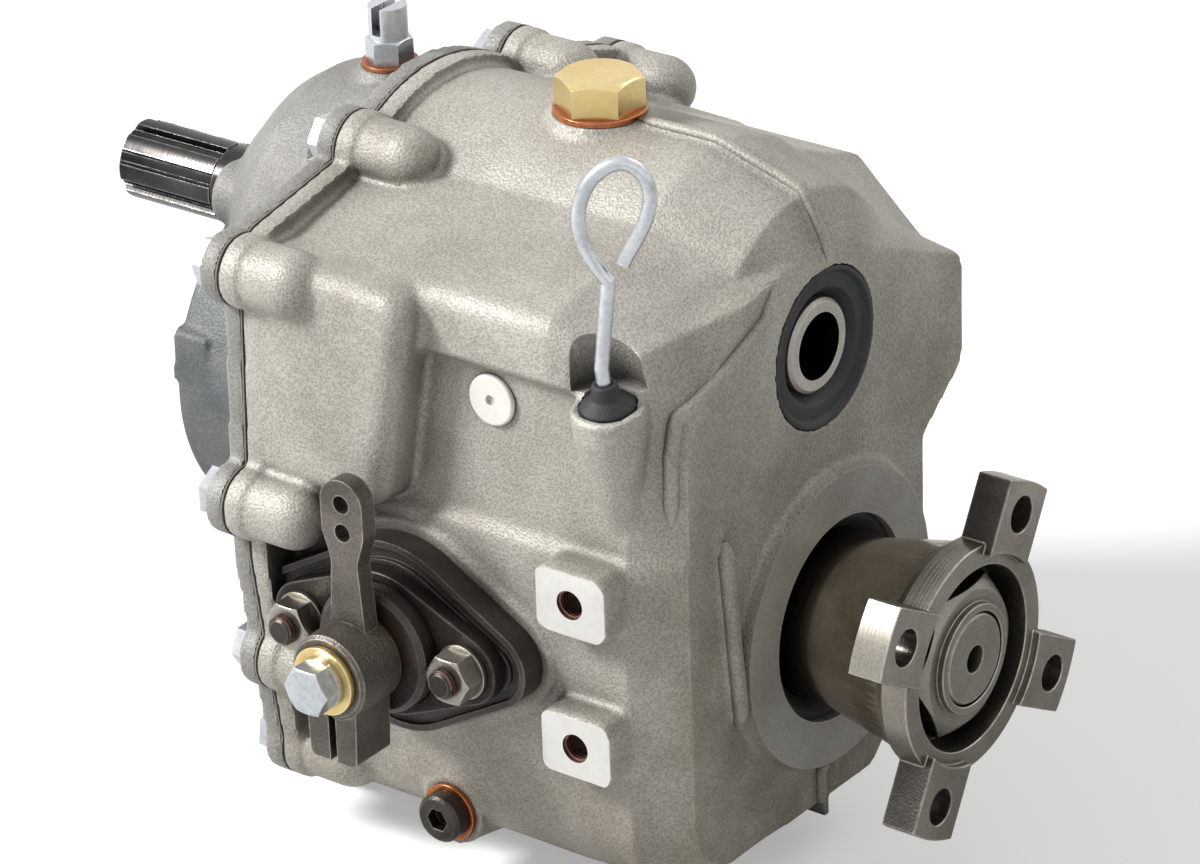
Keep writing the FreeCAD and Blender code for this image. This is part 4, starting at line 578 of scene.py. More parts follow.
# %% [markdown]
# ## Machined pieces with broken edges
# No workshop leaves a knife edge: every machined piece has its corners broken by a file or a chamfer
# tool, and that thin band is what catches the light. A Bevel modifier adds it wherever two faces meet at
# a clear angle. Weighted normals then keep the large faces looking flat.

# %% Break the edges
def broken_edges(node, width, finish, segments=2, sharp_deg=40, angle=28):
    thing = solid_copy(node, flat_deg=0.5)
    bevel = thing.modifiers.new("broken edge", "BEVEL")
    bevel.width = width * MM
    bevel.segments = segments
    bevel.limit_method = "ANGLE"
    bevel.angle_limit = math.radians(angle)
    bevel.miter_outer = "MITER_ARC"
    settle(thing)
    thing.data.materials.clear()
    thing.data.materials.append(finish)
    smooth(thing, sharp_deg)
    weight = thing.modifiers.new("flat faces stay flat", "WEIGHTED_NORMAL")
    weight.keep_sharp = True
    weight.weight = 80
    settle(thing)
    return stands_for(thing, node)


# Each piece has the width of its broken edges, in millimetres, and its finish.
machined_pieces = {
    "output_coupling": (0.5, coupling_steel), "coupling_nut": (0.3, coupling_steel),
    "output_shaft": (0.25, coupling_steel), "input_shaft": (0.25, shaft_steel),
    "shift_cover": (0.9, black_paint), "shift_flange": (0.6, dark_steel), "cover_nuts": (0.2, turned_steel),
    "cover_washers": (0.2, turned_steel), "shift_lever": (0.5, lever_steel), "lever_washer": (0.25, brass),
    "lever_bolt": (0.25, zinc), "filler_plug": (0.3, brass), "filler_washer": (0.2, copper),
    "breather": (0.25, zinc), "breather_washer": (0.15, copper), "drain_plug": (0.25, dark_steel),
    "drain_washer": (0.2, copper), "side_plug": (0.3, white_plastic), "input_tail_seal": (0.3, rubber),
    "output_seal": (0.3, rubber), "dipstick_bung": (0.4, rubber), "copper_ring": (0.15, copper)}
for node, (width, finish) in machined_pieces.items():
    made = broken_edges(node, width, finish)
    print(node, triangles(made), "triangles")

# %% [markdown]
# ## Faces that the lathe left alone
# The coupling is forged and then turned: hub, front face and lug ends are bright, but the flanks of the
# lugs keep their black scale. The input shaft's tail is bare where the splined end is dark. One piece
# thus shows two finishes. Rather than cut it in two, a second material goes on the faces picked by where
# they lie and look.

# %% Second finishes
def second_finish(node, finish, picked):
    """picked says of a face's middle and normal whether the face takes the second finish."""
    made = bpy.data.objects[node + "_made"].data
    made.materials.append(finish)
    share = 0
    for face in made.polygons:
        if picked(face.center, face.normal):
            face.material_index = len(made.materials) - 1
            share += 1
    return share


lug_root_r = 31.5 * MM
barrel_end_x = 222 * MM
barrel_root_r = 23.5 * MM
tail_start_x = 100 * MM
# A normal whose share along a direction is above one of these counts as facing it, or as leaning to it.
facing = 0.6
leaning = 0.5


def on_lug_flank(place, normal):
    outwards = Vector((0, place.y - output_line.y, place.z - output_line.z))
    turned = abs(normal.dot(outwards.normalized())) > facing or abs(normal.x) > facing
    return outwards.length > lug_root_r and place.x > output_face_x and not turned


def on_barrel(place, normal):
    outwards = Vector((0, place.y - output_line.y, place.z - output_line.z))
    return place.x < barrel_end_x and outwards.length > barrel_root_r and abs(normal.x) < leaning


def on_tail(place, normal):
    outwards = Vector((0, place.y, place.z))
    return place.x > tail_start_x and (normal.x > leaning or normal.dot(outwards) > 0)


print("barrel:", second_finish("output_coupling", barrel_steel, on_barrel), "faces")
print("lug flanks:", second_finish("output_coupling", forged_steel, on_lug_flank), "faces")
print("shaft tail:", second_finish("input_shaft", tail_steel, on_tail), "faces")

# %% [markdown]
# ## The two castings
# A casting has no sharp edge at all: the pattern maker rounds every inner and outer corner so that the
# metal flows. Bevels on a shape with this many crossing forms would fail somewhere. A voxel remesh takes
# the outside form whole, and smoothing rolls its corners. The mould's allowances stand a little proud
# first.

# %% Volumes for the machining allowance
def box_volume(name, low, high):
    mesh = bpy.data.meshes.new(name)
    shape = bmesh.new()
    bmesh.ops.create_cube(shape, size=1.0)
    for corner in shape.verts:
        corner.co = Vector([(low[k] + high[k]) / 2 + corner.co[k] * (high[k] - low[k]) for k in range(3)])
    shape.to_mesh(mesh)
    shape.free()
    return new_object(name, mesh)


def rod_volume(name, start, end, radius, sides=96):
    """Cylinder between two points."""
    start = Vector(start)
    axis = Vector(end) - start
    turn = axis.to_track_quat("Z", "Y").to_matrix().to_4x4()
    mesh = bpy.data.meshes.new(name)
    shape = bmesh.new()
    bmesh.ops.create_cone(shape, cap_ends=True, segments=sides, radius1=radius, radius2=radius,
                          depth=axis.length, matrix=Matrix.Translation(start + axis / 2) @ turn)
    shape.to_mesh(mesh)
    shape.free()
    return new_object(name, mesh)


def joined(things):
    """One object that holds the meshes of several."""
    first = things[0]
    shape = bmesh.new()
    for thing in things:
        shape.from_mesh(thing.data)
    shape.to_mesh(first.data)
    shape.free()
    for thing in things[1:]:
        bpy.data.objects.remove(thing)
    return first


allowance = 1.4 * MM
pad_half_x = 12.0 * MM
pad_half_z = 9.75 * MM
pad_inset = 2.0 * MM
output_boss_r = 43.5 * MM
output_boss_root = 3 * MM
pads = []
for z in bracket_rows_z:
    pad_low = (bracket_x - pad_half_x + pad_inset, bracket_face_y - allowance, z - pad_half_z + pad_inset)
    pad_high = (bracket_x + pad_half_x - pad_inset, bracket_face_y + pad_inset, z + pad_half_z - pad_inset)
    pads.append(box_volume("pad", pad_low, pad_high))
output_boss = rod_volume("output boss", (output_face_x - output_boss_root, 0, output_line.z),
                         (output_face_x + allowance, 0, output_line.z), output_boss_r)
print("allowance volumes:", len(pads) + 1)

# %% [markdown]
# ## Sand-cast skin
# The remeshed casting is smoothed and then given a slow waviness, as a cast wall is never quite flat. The
# waviness is a small Geometry Nodes tree: it moves each point along its normal by a noise of its place.
# The same tree serves both castings, each with a depth of its own.

# %% Geometry Nodes: waviness of a cast wall
def geometry_tree(name, inputs):
    tree = bpy.data.node_groups.new(name, "GeometryNodeTree")
    tree.interface.new_socket("Geometry", in_out="INPUT", socket_type="NodeSocketGeometry")
    for label, kind, value in inputs:
        socket = tree.interface.new_socket(label, in_out="INPUT", socket_type=kind)
        if value is not None:
            socket.default_value = value
    tree.interface.new_socket("Geometry", in_out="OUTPUT", socket_type="NodeSocketGeometry")
    return tree, add(tree, "NodeGroupInput"), add(tree, "NodeGroupOutput")


def waviness_tree():
    tree, given, made = geometry_tree("Cast waviness", [
        ("Waves per metre", "NodeSocketFloat", 38.0), ("Wave depth", "NodeSocketFloat", 0.0004),
        ("Finish", "NodeSocketMaterial", None)])
    noise = put(add(tree, "ShaderNodeTexNoise"), Detail=3.0, Roughness=0.5)
    place = add(tree, "GeometryNodeInputPosition")
    normal = add(tree, "GeometryNodeInputNormal")
    centred = add(tree, "ShaderNodeMath", operation="SUBTRACT")
    centred.inputs[1].default_value = 0.5
    depth = add(tree, "ShaderNodeMath", operation="MULTIPLY")
    push = add(tree, "ShaderNodeVectorMath", operation="SCALE")
    move = add(tree, "GeometryNodeSetPosition")
    real = add(tree, "GeometryNodeRealizeInstances")
    finish = add(tree, "GeometryNodeSetMaterial")
    wire(tree, (place, 0, noise, "Vector"), (given, "Waves per metre", noise, "Scale"),
         (noise, 0, centred, 0), (centred, 0, depth, 0), (given, "Wave depth", depth, 1),
         (normal, 0, push, 0), (depth, 0, push, "Scale"), (given, "Geometry", move, "Geometry"),
         (push, 0, move, "Offset"), (move, 0, real, "Geometry"), (real, 0, finish, "Geometry"),
         (given, "Finish", finish, "Material"), (finish, 0, made, "Geometry"))
    return tree


def link_math(tree, operation, first, second):
    node = add(tree, "ShaderNodeMath", operation=operation)
    for slot, value in enumerate((first, second)):
        if isinstance(value, (int, float)):
            node.inputs[slot].default_value = value
        else:
            tree.links.new(value, node.inputs[slot])
    return node.outputs[0]


def grow(thing, tree, **values):
    """Adds the tree as a modifier and fills its named inputs by their identifiers."""
    modifier = thing.modifiers.new(tree.name, "NODES")
    modifier.node_group = tree
    for item in tree.interface.items_tree:
        key = item.name.replace(" ", "_")
        if item.in_out == "INPUT" and key in values:
            modifier[item.identifier] = values[key]
    return modifier


cast_waviness = waviness_tree()
print("inputs:", [i.name for i in cast_waviness.interface.items_tree if i.in_out == "INPUT"])

# %% [markdown]
# ## From solid to casting
# One function does both castings. After the skin is rough, cuts make the machined faces and holes crisp,
# as the mill and the drill do after the foundry. Each cutter carries a finish, and the boolean hands it
# to the faces that it cuts. Before the cuts, Decimate spends the triangles where the form bends and saves
# them on flat walls.

# %% Casting builder
voxel = 1.0 * MM
casting_triangles = 150000
waves_per_metre = 30.0


def work_on(thing, tool, finish, operation):
    tool.data.materials.clear()
    tool.data.materials.append(finish)
    step = thing.modifiers.new("workshop", "BOOLEAN")
    step.operation = operation
    step.solver = "MANIFOLD"
    step.object = tool
    step.material_mode = "TRANSFER"
    settle(thing)
    bpy.data.objects.remove(tool)


def cut_away(thing, cutter, finish):
    work_on(thing, cutter, finish, "DIFFERENCE")


def weld_on(thing, bead, finish):
    work_on(thing, bead, finish, "UNION")


def casting(node, allowances, finish, wave_depth=0.5):
    """The solid with its allowances as one rough skin. The waves are wave_depth millimetres deep."""
    rough = joined([solid_copy(node)] + allowances)
    remesh = rough.modifiers.new("skin", "REMESH")
    remesh.mode = "VOXEL"
    remesh.voxel_size = voxel
    rolled = rough.modifiers.new("rolled corners", "SMOOTH")
    rolled.factor = 0.5
    rolled.iterations = 3
    grow(rough, cast_waviness, Waves_per_metre=waves_per_metre, Wave_depth=wave_depth * MM, Finish=finish)
    settle(rough)
    fewer = rough.modifiers.new("fewer on flat walls", "DECIMATE")
    fewer.ratio = min(1.0, casting_triangles / triangles(rough))
    return settle(rough)


def finished_casting(rough, node):
    smooth(rough, sharp_deg=35)
    return stands_for(rough, node)


print("casting builder ready, voxel", round(voxel / MM, 2), "mm")

# %% [markdown]
# ## The rear casting comes from the mould
# The rear casting is the larger one and holds the gears. Its two pads for a bracket and the boss
# round the output shaft still have their allowance here, so that the mill has metal to take off. Adding
# it as blocks before the remesh, and not after, gives them the same rolled corners and skin as the walls.

# %% Rear casting: skin
rear = casting("rear_housing", pads + [output_boss], cast_aluminium)
print("rear casting:", triangles(rear), "triangles before the cuts")

# %% [markdown]
# ## Parting beads
# Where the halves of the mould met, and where the pattern maker wanted stiffness, thin raised beads run
# over the rear casting: along the roof, down the rear face and down the rear corner. A modelled bead
# would have to follow the skin exactly. A Geometry Nodes tree takes a rough path instead, lays it on the
# nearest skin with Geometry Proximity, and sweeps a round profile along it that gets thinner towards both
# ends.

# %% Geometry Nodes: a bead laid on the skin
def bead_tree():
    tree, given, made = geometry_tree("Parting bead", [
        ("Skin", "NodeSocketObject", None), ("Bead radius", "NodeSocketFloat", 0.0015),
        ("Step length", "NodeSocketFloat", 0.002), ("Finish", "NodeSocketMaterial", None)])
    path = add(tree, "GeometryNodeMeshToCurve")
    steps = add(tree, "GeometryNodeResampleCurve", mode="LENGTH")
    skin = add(tree, "GeometryNodeObjectInfo", transform_space="ORIGINAL")
    nearest = add(tree, "GeometryNodeProximity", target_element="FACES")
    laid = add(tree, "GeometryNodeSetPosition")
    along = add(tree, "GeometryNodeSplineParameter")
    middle_out = link_math(tree, "ABSOLUTE", link_math(tree, "SUBTRACT", along.outputs["Factor"], 0.5), 0)
    taper = put(add(tree, "ShaderNodeMapRange"), From_Min=0.5, From_Max=0.44, To_Min=0.35, To_Max=1.0)
    profile = put(add(tree, "GeometryNodeCurvePrimitiveCircle"), Resolution=14)
    sweep = put(add(tree, "GeometryNodeCurveToMesh"), Fill_Caps=True)
    real = add(tree, "GeometryNodeRealizeInstances")
    finish = add(tree, "GeometryNodeSetMaterial")
    wire(tree, (given, "Geometry", path, "Mesh"), (path, "Curve", steps, "Curve"),
         (given, "Step length", steps, "Length"), (given, "Skin", skin, "Object"))
    tree.links.new(skin.outputs["Geometry"], nearest.inputs[0])
    wire(tree, (steps, "Curve", laid, "Geometry"), (nearest, "Position", laid, "Position"))
    tree.links.new(middle_out, taper.inputs["Value"])
    wire(tree, (laid, "Geometry", sweep, "Curve"), (given, "Bead radius", profile, "Radius"),
         (profile, "Curve", sweep, "Profile Curve"))
    tree.links.new(taper.outputs[0], sweep.inputs["Scale"])
    wire(tree, (sweep, "Mesh", real, "Geometry"), (real, "Geometry", finish, "Geometry"),
         (given, "Finish", finish, "Material"), (finish, "Geometry", made, "Geometry"))
    return tree


def bead(name, points, radius, skin, finish):
    """A bead along rough points. The points and the radius are in millimetres."""
    mesh = bpy.data.meshes.new(name)
    steps = [(k, k + 1) for k in range(len(points) - 1)]
    mesh.from_pydata([tuple(Vector(point) * MM) for point in points], steps, [])
    thing = new_object(name, mesh)
    grow(thing, parting_bead, Skin=skin, Bead_radius=radius * MM, Finish=finish)
    return settle(thing)


parting_bead = bead_tree()
# Each bead has its radius and its rough points, in millimetres.
beads = {
    "roof bead": (1.6, [(129.5, 0, 53), (156, 0, 53), (184, 0, 44), (190, 0, 33), (192, 0, 26)]),
    "rear rib": (2.6, [(191, -50.5, -36.7), (191, -44.5, -96.5)]),
    "rear seam": (1.9, [(191, -6, -122), (191, -6, -140)]),
    "shoulder bead": (2.2, [(191, -23, 27), (191, -28, 19), (190, -56, 8), (188, -65, 4), (187, -67, -6),
                            (187, -67.5, -26)])}
for name, (radius, points) in beads.items():
    welded = bead(name, points, radius, rear, cast_aluminium)
    print(name, triangles(welded), "triangles")
    weld_on(rear, welded, cast_aluminium)
print("rear casting:", triangles(rear), "triangles with its beads")

# %% [markdown]
# ## What the mill and the drill leave on the rear casting
# The joint face, the output boss, the bracket pads with their tapped holes, the two seal bores and the
# dipstick's bore are machined. The rim round that bore is the casting's own: the cut only levels it, so
# it keeps the cast finish. Each cut is a plain block or rod that stands well out of the metal, so that no
# thin skin is left on the face.

# %% Rear casting: cuts
clear = 30 * MM
joint_cut_depth = 40 * MM
joint_cut_low = (-200 * MM, -250 * MM)
joint_cut_high = (200 * MM, 150 * MM)
output_cut_half = 60 * MM
output_bore_r = 30.05 * MM
output_bore_depth = 11.5 * MM
tail_bore_r = 23.05 * MM
tail_bore_depth = 9.5 * MM
bracket_cut_half_x = 14 * MM
bracket_cut_half_z = 12 * MM
bracket_hole_depth = 17 * MM
thread_r = 4.25 * MM
stick_rim_r = 11.3 * MM
stick_rim_height = 16 * MM
stick_bore_r = 7.65 * MM
stick_bore_depth = 11 * MM
stick_bore_height = 20 * MM


def joint_slab(low_x, high_x):
    """A slab wider than the castings, from one place along the shafts to another."""
    return box_volume("joint face", (low_x,) + joint_cut_low, (high_x,) + joint_cut_high)


cut_away(rear, joint_slab(joint_face_x - joint_cut_depth, joint_face_x), machined_aluminium)
cut_away(rear, box_volume("output face",
                          (output_face_x, -output_cut_half, output_line.z - output_cut_half),
                          (output_face_x + clear, output_cut_half, output_line.z + output_cut_half)),
         skimmed_aluminium)
cut_away(rear, rod_volume("output seal bore", (output_face_x - output_bore_depth, 0, output_line.z),
                          (output_face_x + clear, 0, output_line.z), output_bore_r), machined_aluminium)
cut_away(rear, rod_volume("tail seal bore", (rear_face_x - tail_bore_depth, 0, 0),
                          (rear_face_x + clear, 0, 0), tail_bore_r), machined_aluminium)
for z in bracket_rows_z:
    cut_low = (bracket_x - bracket_cut_half_x, bracket_face_y - clear, z - bracket_cut_half_z)
    cut_high = (bracket_x + bracket_cut_half_x, bracket_face_y, z + bracket_cut_half_z)
    cut_away(rear, box_volume("bracket face", cut_low, cut_high), machined_aluminium)
    cut_away(rear, rod_volume("bracket hole", (bracket_x, bracket_face_y + bracket_hole_depth, z),
                              (bracket_x, bracket_face_y - clear, z), thread_r, sides=48), rusty_thread)
cut_away(rear, rod_volume("dipstick rim", stick_mouth, stick_mouth + stick_axis * stick_rim_height,
                          stick_rim_r, sides=64), cast_aluminium)
cut_away(rear, rod_volume("dipstick bore", stick_mouth - stick_axis * stick_bore_depth,
                          stick_mouth + stick_axis * stick_bore_height, stick_bore_r, sides=64),
         machined_aluminium)
finished_casting(rear, "rear_housing")
print("rear casting:", triangles(rear), "triangles")

# %% [markdown]
# ## The screws that hold the castings together
# Twelve M8 screws go round the joint, eleven from the front and one from behind. Each could be placed by
# hand, but their places are already in the solids, so the script reads every separate screw there. What
# stands further out than the shank is its head, and the head's side towards the shank is the seat. The
# pieces come out of a set, in another order each time, so the screws are put in order by their places.

# %% Places of the screws
def separate_pieces(node):
    """Points of each loose piece in a solid."""
    shape = bmesh.new()
    shape.from_mesh(frame["nodes"][node].data)
    bmesh.ops.remove_doubles(shape, verts=shape.verts, dist=same_point)
    found = []
    waiting = set(shape.verts)
    while waiting:
        front_line = [waiting.pop()]
        piece = []
        while front_line:
            corner = front_line.pop()
            piece.append(corner.co.copy())
            for edge in corner.link_edges:
                other = edge.other_vert(corner)
                if other in waiting:
                    waiting.remove(other)
                    front_line.append(other)
        found.append(piece)
    shape.free()
    return found


shank_r = 4.0 * MM
play = 0.5 * MM
end_gap = 1 * MM
screws = []
for piece in separate_pieces("housing_bolts"):
    y = (min(p.y for p in piece) + max(p.y for p in piece)) / 2
    z = (min(p.z for p in piece) + max(p.z for p in piece)) / 2
    head = [p.x for p in piece if math.hypot(p.y - y, p.z - z) > shank_r + play]
    ends = [p.x for p in piece]
    from_behind = max(head) > max(ends) - end_gap
    seat_x = min(head) if from_behind else max(head)
    screws.append((Vector((seat_x, y, z)), from_behind))
screws.sort(key=lambda screw: (screw[0].y, screw[0].z))
print("screws:", len(screws), "from behind:", sum(behind for _, behind in screws))

# %% [markdown]
# ## One screw, many places
# A screw head is a hexagonal bar whose upper corners a cone has turned off. Twelve separate screws would
# be twelve times the work, and a change of size would have to be made in each. The Geometry Nodes tree
# makes one screw, as a hexagon crossed with a cone and a shank below it, and puts an instance on each
# place. Each point carries its own turn, as no two screws stop at the same angle.

# %% Geometry Nodes: a hexagon screw on each place
crown_top = 0.46
crown_foot = 1.33
crown_height = 0.5
crown_drop = 0.499


def moved(tree, mesh, z):
    """The mesh socket's geometry moved along Z by a value socket or a number."""
    place = add(tree, "ShaderNodeCombineXYZ")
    if isinstance(z, (int, float)):
        place.inputs["Z"].default_value = z
    else:
        tree.links.new(z, place.inputs["Z"])
    shift = add(tree, "GeometryNodeTransform")
    tree.links.new(mesh, shift.inputs["Geometry"])
    tree.links.new(place.outputs[0], shift.inputs["Translation"])
    return shift.outputs["Geometry"]


def hexagon_screw_tree():
    tree, given, made = geometry_tree("Hexagon screws", [
        ("Across flats", "NodeSocketFloat", 0.013), ("Head height", "NodeSocketFloat", 0.005),
        ("Shank radius", "NodeSocketFloat", 0.004), ("Shank length", "NodeSocketFloat", 0.02),
        ("Finish", "NodeSocketMaterial", None)])
    flats = given.outputs["Across flats"]
    height = given.outputs["Head height"]
    hexagon = put(add(tree, "GeometryNodeMeshCylinder"), Vertices=6)
    tree.links.new(link_math(tree, "MULTIPLY", flats, 1 / math.sqrt(3)), hexagon.inputs["Radius"])
    tree.links.new(height, hexagon.inputs["Depth"])
    crown = put(add(tree, "GeometryNodeMeshCone"), Vertices=40)
    tree.links.new(link_math(tree, "MULTIPLY", flats, crown_top), crown.inputs["Radius Top"])
    tree.links.new(link_math(tree, "MULTIPLY", flats, crown_foot), crown.inputs["Radius Bottom"])
    tree.links.new(link_math(tree, "MULTIPLY", flats, crown_height), crown.inputs["Depth"])
    raised = moved(tree, crown.outputs["Mesh"], link_math(
        tree, "SUBTRACT", link_math(tree, "MULTIPLY", height, 0.5),
        link_math(tree, "MULTIPLY", flats, crown_drop)))
    head = add(tree, "GeometryNodeMeshBoolean", operation="INTERSECT")
    tree.links.new(hexagon.outputs["Mesh"], head.inputs[1])
    tree.links.new(raised, head.inputs[1])
    head_up = moved(tree, head.outputs["Mesh"], link_math(tree, "MULTIPLY", height, 0.5))
    shank = put(add(tree, "GeometryNodeMeshCylinder"), Vertices=24)
    tree.links.new(given.outputs["Shank radius"], shank.inputs["Radius"])
    tree.links.new(given.outputs["Shank length"], shank.inputs["Depth"])
    shank_down = moved(tree, shank.outputs["Mesh"], link_math(
        tree, "MULTIPLY", given.outputs["Shank length"], -0.5))
    whole = add(tree, "GeometryNodeJoinGeometry")
    tree.links.new(head_up, whole.inputs[0])
    tree.links.new(shank_down, whole.inputs[0])
    place = add(tree, "GeometryNodeInstanceOnPoints")
    turn = add(tree, "GeometryNodeInputNamedAttribute", data_type="FLOAT_VECTOR")
    turn.inputs["Name"].default_value = "turn"
    tree.links.new(given.outputs["Geometry"], place.inputs["Points"])
    tree.links.new(whole.outputs[0], place.inputs["Instance"])
    tree.links.new(turn.outputs["Attribute"], place.inputs["Rotation"])
    real = add(tree, "GeometryNodeRealizeInstances")
    finish = add(tree, "GeometryNodeSetMaterial")
    tree.links.new(place.outputs[0], real.inputs["Geometry"])
    tree.links.new(real.outputs[0], finish.inputs["Geometry"])
    tree.links.new(given.outputs["Finish"], finish.inputs["Material"])
    tree.links.new(finish.outputs[0], made.inputs["Geometry"])
    return tree


def on_points(name, places, turns):
    """Point object whose vertices carry the rotation, in radians, of what will stand on them."""
    mesh = bpy.data.meshes.new(name)
    mesh.from_pydata([tuple(place) for place in places], [], [])
    turn = mesh.attributes.new("turn", "FLOAT_VECTOR", "POINT")
    for k, angles in enumerate(turns):
        turn.data[k].vector = angles
    return new_object(name, mesh)


def head_turn(from_behind, k):
    """A head along +Z is laid along -X, or along +X from behind, and stops at an angle of its own."""
    laid = Matrix.Rotation(math.radians(90 if from_behind else -90), 3, "Y")
    spun = Matrix.Rotation(math.radians(next_stop_deg * k % same_again_deg), 3, "X")
    return tuple((spun @ laid).to_euler())


next_stop_deg = 17
same_again_deg = 60
hexagon_screws = hexagon_screw_tree()
bolts = on_points("housing_screws", [place for place, _ in screws],
                  [head_turn(behind, k) for k, (_, behind) in enumerate(screws)])
grow(bolts, hexagon_screws, Across_flats=13 * MM, Head_height=5 * MM, Shank_radius=shank_r,
     Shank_length=20 * MM, Finish=zinc)
settle(bolts)
smooth(bolts, sharp_deg=30)
stands_for(bolts, "housing_bolts")
print("screw mesh:", triangles(bolts), "triangles")

# %% [markdown]
# ## Threads
# The two bracket holes are tapped, and the cover's studs stand proud of their nuts, so their threads
# show. A thread is a ridge on a helix: Geometry Nodes draw the helix with the Spiral node, sweep a
# three-sided ridge along it, and put one on each point. The pitch is the input that a machinist would ask
# for.

# %% Geometry Nodes: screw thread
ridge_share = 0.38


def thread_tree():
    tree, given, made = geometry_tree("Screw thread", [
        ("Thread radius", "NodeSocketFloat", 0.004), ("Pitch", "NodeSocketFloat", 0.00125),
        ("Length", "NodeSocketFloat", 0.01), ("Finish", "NodeSocketMaterial", None)])
    helix = put(add(tree, "GeometryNodeCurveSpiral"), Resolution=28)
    ridge = put(add(tree, "GeometryNodeCurvePrimitiveCircle"), Resolution=3)
    sweep = put(add(tree, "GeometryNodeCurveToMesh"), Fill_Caps=True)
    place = add(tree, "GeometryNodeInstanceOnPoints")
    turn = add(tree, "GeometryNodeInputNamedAttribute", data_type="FLOAT_VECTOR")
    turn.inputs["Name"].default_value = "turn"
    real = add(tree, "GeometryNodeRealizeInstances")
    finish = add(tree, "GeometryNodeSetMaterial")
    tree.links.new(link_math(tree, "DIVIDE", given.outputs["Length"], given.outputs["Pitch"]),
                   helix.inputs["Rotations"])
    wire(tree, (given, "Thread radius", helix, "Start Radius"),
         (given, "Thread radius", helix, "End Radius"), (given, "Length", helix, "Height"))
    tree.links.new(link_math(tree, "MULTIPLY", given.outputs["Pitch"], ridge_share), ridge.inputs["Radius"])
    wire(tree, (helix, 0, sweep, "Curve"), (ridge, "Curve", sweep, "Profile Curve"),
         (given, "Geometry", place, "Points"), (sweep, "Mesh", place, "Instance"),
         (turn, "Attribute", place, "Rotation"), (place, "Instances", real, "Geometry"),
         (real, "Geometry", finish, "Geometry"), (given, "Finish", finish, "Material"),
         (finish, "Geometry", made, "Geometry"))
    return tree


def threads(name, node, places, radius, length, finish, pitch=1.25 * MM):
    """Threads that run along +Y from each place, on the body of the node."""
    into = (math.radians(-90), 0, 0)
    thing = on_points(name, places, [into] * len(places))
    grow(thing, screw_thread, Thread_radius=radius, Pitch=pitch, Length=length, Finish=finish)
    settle(thing)
    smooth(thing, sharp_deg=40)
    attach(thing, body_of[node])
    print(name, triangles(thing), "triangles")


screw_thread = thread_tree()
bracket_thread_start = 0.6 * MM
bracket_thread_length = 14 * MM
stud_thread_start = 0.5 * MM
stud_thread_length = 2.6 * MM
bracket_mouths = [(bracket_x, bracket_face_y + bracket_thread_start, z) for z in bracket_rows_z]
threads("bracket_threads", "rear_housing", bracket_mouths, thread_r, bracket_thread_length, rusty_thread)
stud_low, stud_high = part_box("cover_studs")
stud_r = (stud_high.z - stud_low.z) / 2
stud_ends = [(x, stud_low.y + stud_thread_start, stud_low.z + stud_r)
             for x in (stud_low.x + stud_r, stud_high.x - stud_r)]
threads("stud_threads", "cover_studs", stud_ends, stud_r, stud_thread_length, rusty_thread)

# %% [markdown]
# ## Front casting
# The front casting is the drum towards the engine. It has fewer machined places: the joint face, the bore
# of the input shaft, and a round spot face under each screw head, which a flat-ended drill sinks a little
# wider than the head. Its skin comes from the same function as the rear one's, with shallower waves.

# %% Front casting: skin and cuts
front = casting("front_housing", [], front_aluminium, wave_depth=0.3)
input_bore_r = 20.05 * MM
input_bore_end_x = 9 * MM
spot_face_r = 8.4 * MM
spot_face_reach = Vector((12 * MM, 0, 0))
cut_away(front, joint_slab(front_joint_face_x, front_joint_face_x + joint_cut_depth), machined_aluminium)
cut_away(front, rod_volume("input seal bore", (input_bore_end_x, 0, 0), (-clear, 0, 0), input_bore_r),
         machined_aluminium)
for place, behind in screws:
    if not behind:
        cut_away(front, rod_volume("spot face", place, place - spot_face_reach, spot_face_r, sides=40),
                 machined_aluminium)
finished_casting(front, "front_housing")
print("front casting:", triangles(front), "triangles")

# %% [markdown]
# ## Light, floor and background
# A catalogue picture has one soft light from the left and above, and almost no shadow. A large key lamp
# stands high on the lever's side, towards the engine's end. A weak one fills in from the coupling's side,
# and a third from behind draws the roof against the white. The floor is pale and shines a little to the
# camera, so that it joins the background. The background is white to the camera's own rays and to what
# mirrors it, but weak as a light, or it would wash out the skin of the castings.

# %% World and floor
def white_world(strength):
    world = bpy.data.worlds.new("studio")
    bpy.context.scene.world = world
    world.use_nodes = True
    tree = world.node_tree
    background = tree.nodes["Background"]
    path = add(tree, "ShaderNodeLightPath")
    seen = add(tree, "ShaderNodeMath", operation="MAXIMUM")
    mirrored = add(tree, "ShaderNodeMath", operation="MAXIMUM")
    level = put(add(tree, "ShaderNodeMapRange"), To_Min=strength, To_Max=1.0)
    wire(tree, (path, "Is Camera Ray", seen, 0), (path, "Is Glossy Ray", seen, 1),
         (seen, 0, mirrored, 0), (path, "Is Transmission Ray", mirrored, 1),
         (mirrored, 0, level, "Value"), (level, 0, background, "Strength"))
    background.inputs["Color"].default_value = (1, 1, 1, 1)


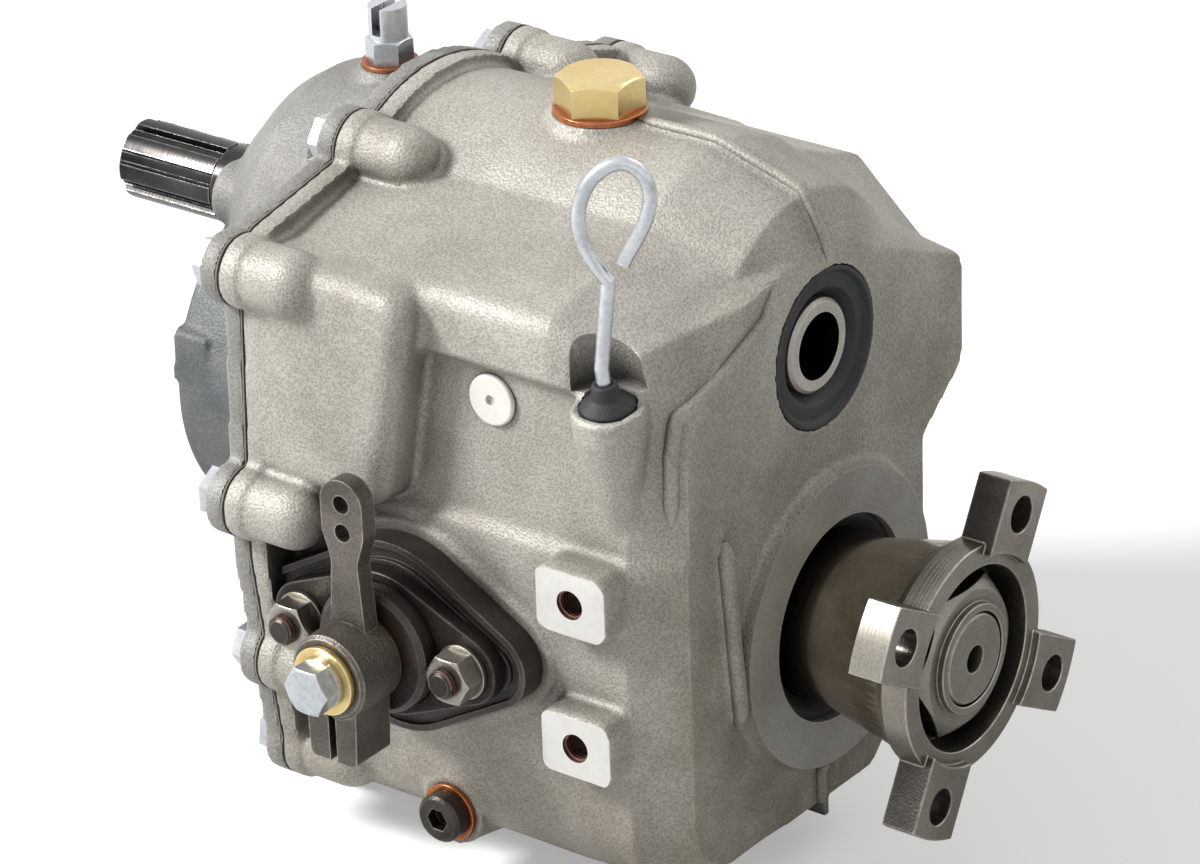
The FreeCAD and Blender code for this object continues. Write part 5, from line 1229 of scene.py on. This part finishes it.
world_strength = 0.3
floor_reach = 6.0
floor_glow_strength = 0.35
white_world(world_strength)
floor_z = cad_box[0].z
floor_mesh = bpy.data.meshes.new("floor")
floor_corners = [(x * floor_reach, y * floor_reach, floor_z)
                 for x, y in ((-1, -1), (1, -1), (1, 1), (-1, 1))]
floor_mesh.from_pydata(floor_corners, [], [(0, 1, 2, 3)])
floor = new_object("floor", floor_mesh)
floor_paint = bpy.data.materials.new("floor")
floor_paint.use_nodes = True
floor_shader = floor_paint.node_tree.nodes["Principled BSDF"]
put(floor_shader, Base_Color=(0.8, 0.8, 0.8, 1), Roughness=0.9, Emission_Color=(1, 1, 1, 1))
floor_path = add(floor_paint.node_tree, "ShaderNodeLightPath")
floor_glow = put(add(floor_paint.node_tree, "ShaderNodeMapRange"), To_Min=0.0, To_Max=floor_glow_strength)
wire(floor_paint.node_tree, (floor_path, "Is Camera Ray", floor_glow, "Value"),
     (floor_glow, 0, floor_shader, "Emission Strength"))
floor_mesh.materials.append(floor_paint)
print("floor at z", round(floor_z, 4))

# %% [markdown]
# ## Camera
# The camera's place was worked out from the object's known sizes: parallel shafts and the coupling's
# circle fix the angle, and the long lens gives the flat perspective of a catalogue picture.

# %% Camera and lamps
def aim(thing, target):
    thing.rotation_euler = (Vector(target) - thing.location).to_track_quat("-Z", "Y").to_euler()


camera = bpy.data.objects.new("camera", bpy.data.cameras.new("camera"))
bpy.context.scene.collection.objects.link(camera)
bpy.context.scene.camera = camera
camera.location = Vector((938.9, -1067.0, 612.5)) * MM
azimuth = math.radians(37.775)
elevation = math.radians(26.005)
roll = math.radians(-2.116)
look = Vector((-math.sin(azimuth) * math.cos(elevation), math.cos(azimuth) * math.cos(elevation),
               -math.sin(elevation)))
camera.rotation_mode = "QUATERNION"
camera.rotation_quaternion = look.to_track_quat("-Z", "Y") @ Quaternion((0, 0, 1), roll)
camera.data.lens = 159.83
camera.data.sensor_width = 36.0
camera.data.clip_start = 0.05


def soft_lamp(name, place, target, size, watts):
    """A square lamp. Its place and size are in metres."""
    lamp = bpy.data.lights.new(name, "AREA")
    lamp.size = size
    lamp.energy = watts
    thing = bpy.data.objects.new(name, lamp)
    bpy.context.scene.collection.objects.link(thing)
    thing.location = place
    aim(thing, target)
    return thing


centre = (cad_box[0] + cad_box[1]) / 2
soft_lamp("key", (-1.35, -1.45, 1.55), centre, size=0.65, watts=86.0)
soft_lamp("fill", (1.5, -0.9, 0.6), centre, size=1.2, watts=1.2)
soft_lamp("rim", (0.5, 1.4, 1.3), centre, size=1.0, watts=7.0)
scene = bpy.context.scene
scene.view_settings.view_transform = "Standard"
print("camera looks along", [round(c, 3) for c in (centre - camera.location).normalized()])
